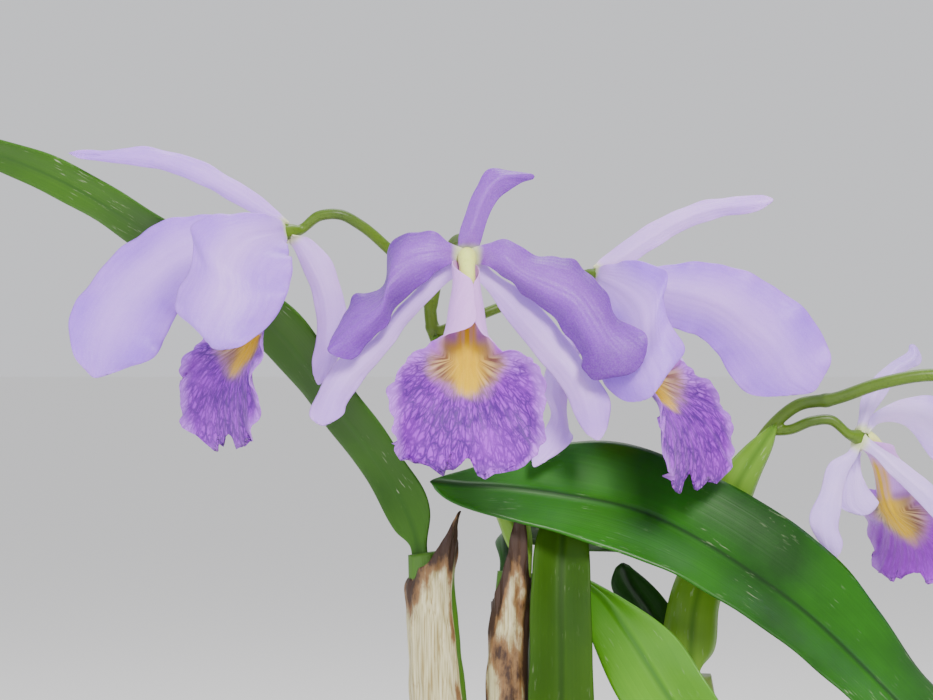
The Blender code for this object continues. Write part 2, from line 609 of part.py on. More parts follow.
def ring_solid(name, rings, kind, shift=PLANT_TO_POT):
    """Close a stack of rings into one solid with a flat cap on each end."""
    count, sides = rings.shape[:2]
    faces = []
    for i in range(count - 1):
        for j in range(sides):
            a = i * sides + j
            b = i * sides + (j + 1) % sides
            faces.append((a, b, b + sides, a + sides))
    faces.append(tuple(range(sides - 1, -1, -1)))
    faces.append(tuple((count - 1) * sides + j for j in range(sides)))
    return add_object(name, rings.reshape(-1, 3), faces, kind, shift)


def tube(name, path, radii, kind, sides=TUBE_SIDES, steps=None, flat=1.0):
    """A smooth tube through the points of path."""
    path = np.asarray(path, float)
    steps = steps or 2 * (len(path) - 1) + 1
    radii = np.broadcast_to(np.asarray(radii, float), (len(path),))
    smooth = smooth_curve(np.column_stack([path, radii]), steps)
    ends = (path[1] - path[0], path[-1] - path[-2])
    return ring_solid(name, tube_rings(smooth[:, :3], smooth[:, 3], ends, sides, flat), kind)


def bloom_axes(facing):
    """Forward, sideways and upward directions of a bloom that faces along facing."""
    forward = unit(facing)
    sideways = unit(np.cross((0, 0, 1), forward))
    return forward, sideways, np.cross(forward, sideways)


def root_row(centre, forward, first_row, layer):
    """The row of points where a blade meets the round end of the pedicel."""
    toward = np.mean(first_row, axis=0)
    outward = unit(toward - forward * np.dot(toward, forward))
    across = np.cross(forward, outward)
    if np.dot(across, np.subtract(first_row[-1], first_row[0])) < 0:
        across = -across
    middle = centre + outward * (KNOB_RADIUS + SEAT_GAP) + forward * layer
    spread = np.linspace(-BLADE_ROOT_HALF, BLADE_ROOT_HALF, len(first_row))
    return [middle + across * s for s in spread]


def bloom_blade(name, centre, forward, net, layer, thick, kind, rows, columns):
    placed = [[centre + np.array(point) for point in row] for row in net]
    rooted = [root_row(centre, forward, net[0], layer)] + placed
    return sheet_solid(name, smooth_net(rooted, rows, columns), thick, kind)


def lip_grid(centre, facing, reach, drop, rows, columns):
    """The lip: a curled sheet round the column that opens into a ruffled lobe."""
    forward, sideways, upward = bloom_axes(facing)
    stations = smooth_curve(LIP_STATIONS, rows, measured=2)
    stations[:, 0] = LIP_LAYER + (stations[:, 0] - LIP_LAYER) * reach
    stations[:, 1] = stations[0, 1] + (stations[:, 1] - stations[0, 1]) * drop
    midline = stations[:, :2]
    heading = np.gradient(midline, axis=0)
    heading[0] = (1.0, 0.0)
    heading /= np.linalg.norm(heading, axis=1, keepdims=True)
    grid = np.zeros((rows, columns, 3))
    for i, (ahead, up, half_arc, curl) in enumerate(stations):
        inward = -heading[i][1] * forward + heading[i][0] * upward
        middle = centre + ahead * forward + up * upward
        radius = half_arc / math.radians(curl)
        along = i / (rows - 1)
        for j in range(columns):
            s = 2 * j / (columns - 1) - 1
            turn = s * math.radians(curl)
            point = middle + radius * (math.sin(turn) * sideways + (1 - math.cos(turn)) * inward)
            ruffle = LIP_RUFFLE * abs(s)**3 * max(0.0, along - LIP_RUFFLE_START)
            wave = math.sin(2 * math.pi * LIP_RUFFLE_WAVES * (along + 0.5 * s))
            grid[i, j] = point + inward * ruffle * wave
    return grid


def make_bloom(name, centre, facing, reach, drop, blades):
    centre = np.array(centre)
    forward, sideways, upward = bloom_axes(facing)
    for part_name, net in blades.items():
        kind = "sepal" if part_name.endswith("sepal") else "petal"
        layer, thick, rows, columns = BLADE_MAKE[kind]
        bloom_blade(f"{name}_{part_name}", centre, forward, net, layer, thick, kind, rows, columns)
    lip = lip_grid(centre, facing, reach, drop, LIP_ROWS, LIP_COLUMNS)
    sheet_solid(f"{name}_lip", lip, LIP_THICK, "lip")
    start = COLUMN_PATH[0][0]
    path = []
    for ahead, up in COLUMN_PATH:
        path.append(centre + (start + (ahead - start) * reach) * forward + up * drop * upward)
    tube(f"{name}_column", path, COLUMN_RADII, "column")


def knob_path(pedicel, bloom_name):
    """Carry a pedicel on into the round end that holds the bloom."""
    centre, facing = BLOOMS[bloom_name][:2]
    centre = np.array(centre)
    forward = unit(facing)
    back = centre - KNOB_LEAD * forward
    return list(pedicel) + [back, centre - KNOB_HALF * forward, centre + KNOB_HALF * forward]


def make_pedicel(name, pedicel, bloom_name):
    path = knob_path(pedicel, bloom_name)
    radii = [PEDICEL_RADIUS] * (len(pedicel) + 1) + [KNOB_RADIUS] * 2
    return tube(name, path, radii, "stem")


def peduncle_path(bulb_name, offset, route):
    foot, upward = seat_row(bulb_name, offset, np.array([1.0, 0.0, 0.0]), [0.0])
    return [foot[0], foot[0] + upward * STEM_STALK] + route


def make_stems():
    stem_1 = tube("flower_stem_1", peduncle_path(*STEM_1), PEDUNCLE_RADIUS, "stem")
    pedicels = [
        make_pedicel("pedicel_left", PEDICEL_LEFT, "bloom_left"),
        make_pedicel("pedicel_middle", PEDICEL_MIDDLE, "bloom_middle"),
        make_pedicel("pedicel_right", PEDICEL_RIGHT, "bloom_right"),
    ]
    fuse(stem_1, pedicels)
    stem_2 = tube("flower_stem_2", peduncle_path(*STEM_2), PEDUNCLE_RADIUS, "stem")
    fuse(stem_2, [make_pedicel("pedicel_far", PEDICEL_FAR, "bloom_far")])
    tube("flower_bud", BUD_PATH, BUD_RADII, "stem", sides=10)


def bulb_top(bulb_name):
    """Centre and direction of the flat top of a pseudobulb."""
    path = PSEUDOBULBS[bulb_name][0]
    return np.array(path[-1], float), unit(np.subtract(path[-1], path[-2]))


def seat_row(bulb_name, offset, across, spread):
    """Points across a leaf's root, standing GAP above the top of its pseudobulb."""
    top, upward = bulb_top(bulb_name)
    to_right = unit(np.cross((0, 1, 0), upward))
    to_back = np.cross(upward, to_right)
    across = unit(across - upward * np.dot(across, upward))
    middle = top + upward * SEAT_GAP + to_right * offset[0] + to_back * offset[1]
    return [middle + across * s for s in spread], upward


def make_leaf(name, bulb_name, offset, root_half, net):
    across = np.subtract(net[0][-1], net[0][0])
    root, upward = seat_row(bulb_name, offset, across, np.linspace(-root_half, root_half, 3))
    stalk = [point + upward * LEAF_STALK for point in root]
    grid = smooth_net([root, stalk] + net, LEAF_ROWS, LEAF_COLUMNS)
    sheet_solid(name, grid, LEAF_THICK, "leaf")


def fold_row(x, y, z, half_width, depth):
    """Five points of a sheath that is folded round the back of a stem."""
    shape = [(-1.0, 1.0), (-0.8, 0.1), (0.0, -0.3), (0.8, 0.1), (1.0, 1.0)]
    return [(x + half_width * right, y + depth * back, z) for right, back in shape]


def make_spathe(name, bulb_name, offset, stations):
    net = [fold_row(*station) for station in stations]
    spread = np.linspace(-SPATHE_ROOT_HALF, SPATHE_ROOT_HALF, len(net[0]))
    root, upward = seat_row(bulb_name, offset, np.array([1.0, 0.0, 0.0]), spread)
    stalk = [point + upward * SPATHE_STALK for point in root]
    grid = smooth_net([root, stalk] + net, SPATHE_ROWS, SPATHE_COLUMNS)
    sheet_solid(name, grid, SPATHE_THICK, "spathe")


def make_pseudobulbs():
    for name, (path, radii) in PSEUDOBULBS.items():
        kind = "dry_sheath" if name in SHEATHED else "pseudobulb"
        bulb = tube(name, path, radii, kind, sides=BULB_SIDES)
        if name in SHEATHED:
            fuse(bulb, [tube("sheath_tip", SHEATHED[name], SHEATH_TIP_RADII, kind, flat=SHEATH_TIP_FLAT)])


def make_rhizome():
    rhizome = tube("rhizome", RHIZOME_PATH, RHIZOME_RADIUS, "rhizome", sides=10)
    joined = [tube("branch", RHIZOME_BRANCH, BRANCH_RADIUS, "rhizome", sides=10)]
    for path, radii in PSEUDOBULBS.values():
        x, y, _ = path[0]
        socket = [(x, y, SOCKET_FOOT), (x, y, SOCKET_TOP)]
        joined.append(tube("socket", socket, radii[0] + SOCKET_RIM, "rhizome", sides=BULB_SIDES, steps=2))
    for route in ROOTS:
        joined.append(tube("root", route, ROOT_RADIUS, "rhizome", sides=6))
    fuse(rhizome, joined)


def distance_to_route(point, route):
    """Shortest level distance from a point to a route of straight runs."""
    nearest = math.inf
    for start, end in zip(route, route[1:]):
        start, end = np.array(start[:2]), np.array(end[:2])
        run = end - start
        t = np.clip(np.dot(point - start, run) / np.dot(run, run), 0, 1)
        nearest = min(nearest, float(np.linalg.norm(point - start - run * t)))
    return nearest


def bark_chip(x, y, size, turn, lean):
    """One angular chip, sunk into the bark: a leaning block, narrower on top."""
    corners = []
    for sz, taper in [(-1, 1.0), (1, CHIP_TAPER)]:
        for sx, sy in [(-1, -1), (1, -1), (1, 1), (-1, 1)]:
            along = sx * size * taper
            aside = sy * size * CHIP_WIDTH * taper
            height = sz * size * CHIP_DEPTH + lean * sx * size * CHIP_LEAN
            corners.append((x + along * math.cos(turn) - aside * math.sin(turn),
                            y + along * math.sin(turn) + aside * math.cos(turn), BARK_TOP + height))
    faces = [(0, 3, 2, 1), (4, 5, 6, 7), (0, 1, 5, 4), (1, 2, 6, 5), (2, 3, 7, 6), (3, 0, 4, 7)]
    return add_object("chip", corners, faces, "bark", np.zeros(3))


def circle(radius, z, sides):
    turns = np.arange(sides) * 2 * math.pi / sides
    return np.array([(radius * math.cos(a), radius * math.sin(a), z) for a in turns])


def turned(name, profile, kind, sides):
    """A solid turned round the pot's axis from (radius, height) pairs."""
    return ring_solid(name, np.array([circle(r, z, sides) for r, z in profile]), kind, np.zeros(3))


def make_bark():
    """Packed bark that fills the pot, with loose-lying chips on top, as one body."""
    rng = random.Random(7)
    foot_z = POT_FLOOR + GAP
    top_radius = pot_radius(BARK_TOP) - POT_WALL - GAP
    foot_radius = pot_radius(foot_z) - POT_WALL - GAP
    bark = turned("bark", [(foot_radius, foot_z), (top_radius, BARK_TOP)], "bark", POT_SIDES)
    routes = [(route, CHIP_ROOM + RHIZOME_RADIUS) for route in (RHIZOME_PATH, RHIZOME_BRANCH)]
    routes += [(route, CHIP_ROOM + ROOT_RADIUS) for route in ROOTS]
    chips, places = [], []
    for _ in range(CHIP_TRIES):
        distance = (top_radius - CHIP_EDGE_ROOM) * math.sqrt(rng.random())
        angle = rng.random() * 2 * math.pi
        size, turn, lean = rng.uniform(*CHIP_SIZES), rng.random() * math.pi, rng.uniform(-1, 1)
        place = np.array([distance * math.cos(angle), distance * math.sin(angle)])
        in_plant = place - PLANT_TO_POT[:2]
        if min(distance_to_route(in_plant, route) - room for route, room in routes) < 0:
            continue
        if any(np.linalg.norm(place - other) < CHIP_SPACING for other in places):
            continue
        places.append(place)
        chips.append(bark_chip(place[0], place[1], size, turn, lean))
    fuse(bark, chips)


def pot_radius(z):
    """Outer radius of the pot's wall at height z."""
    return POT_FOOT_RADIUS + (POT_RIM_RADIUS - POT_RIM_STEP - POT_FOOT_RADIUS) * z / POT_HEIGHT


def make_pot():
    """A tapering pot with a rolled rim and drain holes in its floor."""
    rim_foot = POT_HEIGHT - POT_RIM_DEPTH
    profile = [
        (pot_radius(0) - POT_EDGE, 0.0),
        (pot_radius(POT_EDGE), POT_EDGE),
        (pot_radius(rim_foot), rim_foot),
        (POT_RIM_RADIUS - POT_EDGE, rim_foot + POT_EDGE),
        (POT_RIM_RADIUS, POT_HEIGHT - POT_EDGE),
        (POT_RIM_RADIUS - POT_EDGE, POT_HEIGHT),
        (pot_radius(POT_HEIGHT) - POT_WALL, POT_HEIGHT),
        (pot_radius(POT_FLOOR) - POT_WALL, POT_FLOOR),
    ]
    pot = turned("pot", profile, "pot", POT_SIDES)
    for k in range(DRAIN_HOLES):
        angle = (k + 0.5) * 2 * math.pi / DRAIN_HOLES
        x, y = DRAIN_HOLE_RING * math.cos(angle), DRAIN_HOLE_RING * math.sin(angle)
        rings = [circle(DRAIN_HOLE_RADIUS, z, 10) + (x, y, 0) for z in (-2.0, POT_FLOOR + 2.0)]
        hole = ring_solid("hole", np.array(rings), "pot", np.zeros(3))
        cut = pot.modifiers.new("hole", "BOOLEAN")
        cut.operation = "DIFFERENCE"
        cut.object = hole
        cut.solver = "EXACT"
        hole.hide_render = True
        hole.display_type = "WIRE"


def main():
    clear_scene()
    make_pot()
    make_bark()
    make_rhizome()
    make_pseudobulbs()
    for name, (bulb_name, offset, root_half, net) in LEAVES.items():
        make_leaf(name, bulb_name, offset, root_half, net)
    for name, (bulb_name, offset, stations) in SPATHES.items():
        make_spathe(name, bulb_name, offset, stations)
    make_stems()
    for name, (centre, facing, reach, drop, blades) in BLOOMS.items():
        make_bloom(name, centre, facing, reach, drop, blades)


main()
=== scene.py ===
# %% [markdown]
# A cattleya orchid in flower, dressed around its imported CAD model.
#
# The CAD model holds every petal, leaf and stem as a coarse solid. This notebook builds each of
# them again, finer and thinner, from the same nets of points, and gives each a material.
# The frame comes first, because every piece has to ride on it.

import math

import bpy
import numpy as np
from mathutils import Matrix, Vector, noise


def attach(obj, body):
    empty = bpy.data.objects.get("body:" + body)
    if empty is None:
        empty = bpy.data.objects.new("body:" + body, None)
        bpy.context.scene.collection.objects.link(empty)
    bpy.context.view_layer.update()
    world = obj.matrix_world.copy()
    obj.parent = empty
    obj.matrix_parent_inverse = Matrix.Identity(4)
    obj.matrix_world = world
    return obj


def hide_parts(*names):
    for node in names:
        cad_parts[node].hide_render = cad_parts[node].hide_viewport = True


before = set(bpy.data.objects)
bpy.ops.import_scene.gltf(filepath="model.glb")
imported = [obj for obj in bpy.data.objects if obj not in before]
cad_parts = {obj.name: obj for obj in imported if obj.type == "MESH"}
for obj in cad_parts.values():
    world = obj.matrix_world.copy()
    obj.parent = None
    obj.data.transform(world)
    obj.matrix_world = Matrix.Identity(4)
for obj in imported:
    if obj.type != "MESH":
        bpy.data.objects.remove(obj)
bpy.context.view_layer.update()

# %% [markdown]
# The photograph looks level across the flowers from about 0.9 m, with a long lens. One pixel at
# the middle bloom is 0.34 mm, which gives the distance for a 100 mm lens on a 36 mm sensor.
# The camera comes first, so that every later render can be laid beside the photograph.

# %% Camera
MM = 0.001
PLANT_TO_POT = np.array([-70.0, -20.0, 0.0])
CAMERA_PLACE = (-0.070, -0.901, 0.320)

camera_data = bpy.data.cameras.new("camera")
camera_data.lens = 100.0
camera_data.sensor_width = 36.0
camera_data.sensor_fit = "HORIZONTAL"
camera = bpy.data.objects.new("camera", camera_data)
camera.location = CAMERA_PLACE
camera.rotation_euler = (math.radians(90), 0, 0)
bpy.context.scene.collection.objects.link(camera)
bpy.context.scene.camera = camera
print("camera at", CAMERA_PLACE)

# %% [markdown]
# A material is a tree of small steps. Written out in full, each step takes several lines, so one
# function adds a node with its settings and links. The table beside it says which inputs and
# which output of a node this notebook uses, so that a call only has to give their values.

# %% Colour and node helpers
# For each kind of node: settings, inputs in the order of a call, and the output that it returns.
NODE_USES = {
    "Attribute": ({}, (), "Vector"),
    "TexCoord": ({}, (), "Object"),
    "SeparateXYZ": ({}, (0,), slice(None)),
    "Mapping": ({}, ("Vector", "Scale", "Rotation"), 0),
    "TexNoise": ({}, ("Vector", "Scale", "Detail", "Roughness"), "Fac"),
    "TexVoronoi": ({}, ("Vector", "Scale", "Randomness"), "Distance"),
    "ValToRGB": ({}, (0,), 0),
    "MapRange": ({}, (0, 1, 2, 3, 4), 0),
    "Math": ({}, (0, 1, 2), 0),
    "Mix": ({"data_type": "RGBA"}, (0, 6, 7), 2),
    "Bump": ({}, ("Height", "Strength", "Distance"), 0),
}
SMOOTH = {"interpolation_type": "SMOOTHSTEP"}


def colour(hex_code):
    """Linear RGBA from an sRGB hex colour."""
    channels = [int(hex_code[i:i + 2], 16) / 255 for i in (1, 3, 5)]
    return tuple(c / 12.92 if c <= 0.04045 else ((c + 0.055) / 1.055)**2.4 for c in channels) + (1.0,)


def fill(tree, node, inputs):
    """Link or set a node's inputs. A hex colour stands for its linear value."""
    for name, value in inputs.items():
        if isinstance(value, bpy.types.NodeSocket):
            tree.links.new(value, node.inputs[name])
        else:
            node.inputs[name].default_value = colour(value) if isinstance(value, str) else value


def add(tree, kind, *values, out=None, stops=(), **settings):
    """Add a node and return its output. stops are a colour ramp's places and colours or greys."""
    usual, names, usual_out = NODE_USES[kind]
    made = tree.nodes.new("ShaderNode" + kind)
    for name, value in {**usual, **settings}.items():
        setattr(made, name, value)
    fill(tree, made, dict(zip(names, values)))
    if stops:
        elements = made.color_ramp.elements
        while len(elements) < len(stops):
            elements.new(0.5)
        for element, (place, shade) in zip(elements, stops):
            element.position = place
            element.color = colour(shade) if isinstance(shade, str) else (shade, shade, shade, 1.0)
    return made.outputs[usual_out if out is None else out]


def overlap(tree, *masks):
    """Where several masks overlap: their values multiplied together."""
    total = masks[0]
    for mask in masks[1:]:
        total = add(tree, "Math", total, mask, operation="MULTIPLY")
    return total


def new_material(name):
    made = bpy.data.materials.new(name)
    made.use_nodes = True
    return made, made.node_tree


def finish(tree, inputs):
    """Link or set the sockets of a material's own shader."""
    fill(tree, tree.nodes["Principled BSDF"], inputs)


print("helpers ready; mid grey is", round(colour("#808080")[0], 3))

# %% [markdown]
# A studio floor should not draw the eye. It is one large pale sheet, lit by a soft sky of the same
# tone, so that it fades out behind the plant instead of ending in a hard line. Three wide lamps
# stand in for soft boxes: small ones would burn white spots into the petals.

# %% Floor and light
FLOOR_HALF = 30.0
FLOOR_DROP = 0.0002
SKY_COLOUR = "#E9EAEE"
AIM = Vector((-0.05, 0.0, 0.28))
# Each lamp: where it stands, its width, its power in watts and its colour.
LAMPS = {
    "key": ((0.30, -1.30, 1.20), 0.45, 30.0, "#FFFBF6"),
    "fill": ((-1.10, -0.90, 0.45), 0.90, 8.0, "#F2F5FF"),
    "top": ((0.10, 0.60, 1.50), 0.90, 14.0, "#FFFFFF"),
}

floor_mesh = bpy.data.meshes.new("floor")
corners = [(-1, -1), (1, -1), (1, 1), (-1, 1)]
floor_mesh.from_pydata([(x * FLOOR_HALF, y * FLOOR_HALF, 0) for x, y in corners], [], [(0, 1, 2, 3)])
floor = bpy.data.objects.new("floor", floor_mesh)
floor.location.z = -FLOOR_DROP
bpy.context.scene.collection.objects.link(floor)
STUDIO_PAPER, floor_tree = new_material("studio_paper")
finish(floor_tree, {"Base Color": "#F7F6F4", "Roughness": 0.9, "Specular IOR Level": 0.2})
floor_mesh.materials.append(STUDIO_PAPER)

world = bpy.data.worlds.new("studio")
world.use_nodes = True
fill(world.node_tree, world.node_tree.nodes["Background"], {"Color": SKY_COLOUR, "Strength": 1.0})
bpy.context.scene.world = world

for name, (place, width, power, shade) in LAMPS.items():
    lamp_data = bpy.data.lights.new(name, "AREA")
    lamp_data.size = width
    lamp_data.energy = power
    lamp_data.color = colour(shade)[:3]
    lamp = bpy.data.objects.new(name, lamp_data)
    lamp.location = place
    lamp.rotation_euler = (AIM - Vector(place)).to_track_quat("-Z", "Y").to_euler()
    bpy.context.scene.collection.objects.link(lamp)
print("lamps:", ", ".join(LAMPS))

# %% [markdown]
# A petal is a thin doubly curved sheet. Sculpting one by hand is possible, but hard to repeat, and
# a subdivision surface pulls away from its cage. Here a net of a few points is read as a smooth
# sheet: first along the petal, then across it. A slope at each point is weighed by the runs beside
# it, so the sheet passes through every point without overshooting.

# %% Smooth curves and sheets
TIP_ROWS = 12
TIP_NARROWEST = 0.1


def smooth_curve(points, places, measured=3):
    """Read a smooth curve through points at places, counted in points from the first."""
    points = np.asarray(points, float)
    runs = np.linalg.norm(np.diff(points[..., :measured], axis=0), axis=-1)
    runs = np.maximum(runs.reshape(len(runs), -1).mean(axis=1), 1e-6)
    shape = (-1,) + (1,) * (points.ndim - 1)
    before, after = runs[:-1].reshape(shape), runs[1:].reshape(shape)
    steepness = np.diff(points, axis=0) / runs.reshape(shape)
    inner = (steepness[:-1] * after + steepness[1:] * before) / (before + after)
    slopes = np.concatenate([steepness[:1], inner, steepness[-1:]])
    k = np.minimum(np.asarray(places).astype(int), len(points) - 2)
    t = (np.asarray(places) - k).reshape(shape)
    run = runs[k].reshape(shape)
    return ((1 + 2 * t) * (1 - t)**2 * points[k] + t * (1 - t)**2 * run * slopes[k]
            + t**2 * (3 - 2 * t) * points[k + 1] - t**2 * (1 - t) * run * slopes[k + 1])


def tip_places(rows, rounding):
    """Places from 0 to 1 along a blade, and how wide the blade is at each, to round its tip."""
    body = np.linspace(0, 1 - rounding, rows - TIP_ROWS, endpoint=False)
    turn = np.linspace(0, math.pi / 2, TIP_ROWS)
    along = np.concatenate([body, 1 - rounding + rounding * np.sin(turn)])
    width = np.concatenate([np.ones(len(body)), np.maximum(np.cos(turn), TIP_NARROWEST)])
    return along, width


def smooth_sheet(net, rows, columns, rounding):
    """Grid of points on the smooth sheet through a net, with its along and across values."""
    along, width = tip_places(rows, rounding)
    lines = smooth_curve(net, along * (len(net) - 1))
    across = np.linspace(-1, 1, columns)[None, :] * width[:, None]
    last = len(net[0]) - 1
    grid = np.array([smooth_curve(line, (row + 1) / 2 * last) for line, row in zip(lines, across)])
    return grid, np.broadcast_to(along[:, None], across.shape), across


def sheet_normals(grid):
    normals = np.cross(np.gradient(grid, axis=0), np.gradient(grid, axis=1))
    return normals / np.maximum(np.linalg.norm(normals, axis=2, keepdims=True), 1e-9)


def pushed(grid, push):
    return grid + sheet_normals(grid) * push[..., None]


print("a three-point curve read at 5 places:",
      np.round(smooth_curve([(0, 0, 0), (1, 1, 0), (2, 0, 0)], np.linspace(0, 2, 5))[:, 1], 2))

# %% [markdown]
# A sheet becomes a solid when it has two faces and a rim. Each point also remembers where it lies
# on the blade, in an attribute that the materials read: x is across and y along, in metres on the
# flat blade, so a pattern keeps its real size however the blade curls.

# %% Blades with thickness
def run_length(points):
    """Distance along a line of points, from its first."""
    return np.concatenate([[0], np.cumsum(np.linalg.norm(np.diff(points, axis=0), axis=1))])


def blade_attributes(grid, along, across):
    """The attribute that the materials read, and the millimetres across and along behind it."""
    widths = np.linalg.norm(np.diff(grid, axis=1), axis=2).sum(axis=1) / 2
    full = np.maximum(np.abs(across).max(axis=1), 1e-6)
    across_mm = across / full[:, None] * widths[:, None]
    along_mm = np.broadcast_to(run_length(grid[:, grid.shape[1] // 2])[:, None], across_mm.shape)
    return {"flat": np.stack([across_mm * MM, along_mm * MM, along], axis=-1)}, across_mm, along_mm


def add_object(name, points, faces, material, attributes=None):
    """Turn points in plant millimetres into a smooth-shaded object, in metres in the pot's frame."""
    mesh = bpy.data.meshes.new(name)
    mesh.from_pydata(((np.asarray(points) + PLANT_TO_POT) * MM).tolist(), [], faces)
    for key, values in (attributes or {}).items():
        layer = mesh.attributes.new(key, "FLOAT_VECTOR", "POINT")
        layer.data.foreach_set("vector", np.asarray(values, np.float32).ravel())
    mesh.shade_smooth()
    mesh.materials.append(material)
    made = bpy.data.objects.new(name, mesh)
    bpy.context.scene.collection.objects.link(made)
    return made


def sheet_object(name, grid, thick, material, attributes):
    """Close a grid of points into a thin blade. thick is one number or one for each point."""
    rows, columns = grid.shape[:2]
    half = sheet_normals(grid) * (np.broadcast_to(thick, (rows, columns)) / 2)[..., None]
    points = np.concatenate([(grid + half).reshape(-1, 3), (grid - half).reshape(-1, 3)])
    count = rows * columns
    a = (np.arange(rows - 1)[:, None] * columns + np.arange(columns - 1)[None, :]).ravel()
    upper = np.stack([a, a + columns, a + columns + 1, a + 1], axis=1)
    lower = upper[:, ::-1] + count
    rim = list(range(columns)) + [i * columns + columns - 1 for i in range(1, rows)]
    rim += [(rows - 1) * columns + j for j in range(columns - 2, -1, -1)]
    rim += [i * columns for i in range(rows - 2, 0, -1)]
    edge = [(p, q, count + q, count + p) for p, q in zip(rim, rim[1:] + rim[:1])]
    doubled = {key: np.concatenate([v.reshape(-1, 3)] * 2) for key, v in attributes.items()}
    return add_object(name, points, upper.tolist() + lower.tolist() + edge, material, doubled)


def place_on(piece, node):
    """The piece stands for a CAD node, whose part it hides, and rides where it is."""
    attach(piece, "root")
    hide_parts(node)
    return piece


print("blade helpers ready")

# %% [markdown]
# Each blade of a bloom is a net of points: rows run from the root to the tip, and each row from
# one margin to the other, in millimetres from the bloom's centre. They were read off the
# photograph. The root row isn't in the net, because it follows from the stem's round end.

# %% Nets of the four blooms
MIDDLE_BLADES = {
    "dorsal_sepal": [
        [(-3, 0, 5), (0.5, -1, 5.5), (4.5, 0, 5)], [(-0.5, 1, 15), (3, -1, 14.5), (7, 1, 13.5)],
        [(3, 2, 24), (6.5, 0, 22.5), (10, 3, 19.5)], [(7, 3, 30), (11, 1, 27), (14.5, 4, 23)],
        [(14, 6, 30), (16, 3, 28), (18.5, 6, 26)], [(22, 8, 29), (22.7, 7.5, 28.3), (23.3, 8, 27.6)]],
    "left_sepal": [
        [(-9, 2, -3.5), (-8.5, 1, -6), (-7, 2, -8.5)],
        [(-21, 5, -14), (-20, 3, -17.5), (-18.5, 5, -20.5)],
        [(-32, 5, -27), (-31, 2, -31), (-28.5, 4, -33.5)],
        [(-45, 3, -36), (-41, 0, -40), (-36.5, 3, -43)],
        [(-50.5, 2, -45), (-46, 0, -47.5), (-41, 2, -50)],
        [(-53.5, 1, -54), (-49, 0, -55), (-43, 1, -54)],
        [(-51, 0, -56.5), (-49, 0, -57), (-47, 0, -56.5)]],
    "right_sepal": [
        [(6, 2, -10), (8, 1, -8), (9.5, 3, -5)], [(14.5, 4, -22), (18, 2, -18), (21.5, 5, -13)],
        [(25, 4, -35), (29.5, 2, -31), (33.5, 6, -27)],
        [(33.5, 3, -46), (38.5, 1, -41.5), (43.5, 5, -40)],
        [(38.5, 1, -57), (43, 0, -54), (49, 3, -51)], [(42, 0, -61.5), (44.5, 0, -62), (47, 0, -61)]],
    "left_petal": [
        [(-6, -1, 5), (-6, -2.5, 2.5), (-6, -3, 0), (-5.5, -3, -2)],
        [(-10, -1, 8), (-11, -4, 3.5), (-11, -5, -1), (-9.5, -3, -4.5)],
        [(-19, -1, 9), (-21, -5, 2), (-20, -6, -5), (-16, -3, -9.5)],
        [(-24.5, 2, 6), (-25.5, -5, -3), (-26, -8, -10), (-23, -3, -16.5)],
        [(-30, 6, -9.5), (-28, -3, -12), (-29.5, -8, -18), (-29, -4, -24)],
        [(-40, 7, -14), (-39, 0, -19), (-39.5, -7, -26.5), (-36, -5, -32)],
        [(-43, 3, -23), (-46, -3, -27), (-47, -8, -32), (-41, -7, -37)]],
    "right_petal": [
        [(7, -1, 5), (7.5, -2.5, 3), (7, -3, 0), (6, -3, -2.5)],
        [(12.5, -1, 6.5), (12.5, -4, 2.5), (11, -5, -1.5), (9, -3, -4)],
        [(20, 0, 2), (19, -4, -2), (17, -6, -6), (14.5, -2, -8.5)],
        [(30, 1, 0.5), (28, -5, -5), (25, -7, -10.5), (22, -2, -14)],
        [(39, 2, -2.5), (37.5, -5, -9), (35, -8, -16), (31, -2, -22.5)],
        [(46, 0, -11), (44.5, -7, -18), (41, -9, -25), (37.5, -3, -31)],
        [(52, -4, -21), (50, -8, -27), (46, -9, -33), (40, -5, -38)],
        [(60, -5, -26), (57, -8, -33), (51, -9, -38.5), (43.5, -6, -41.5)],
        [(61.5, -6, -31.5), (59, -7, -36), (55, -7.5, -39.5), (50, -7, -41)]],
}
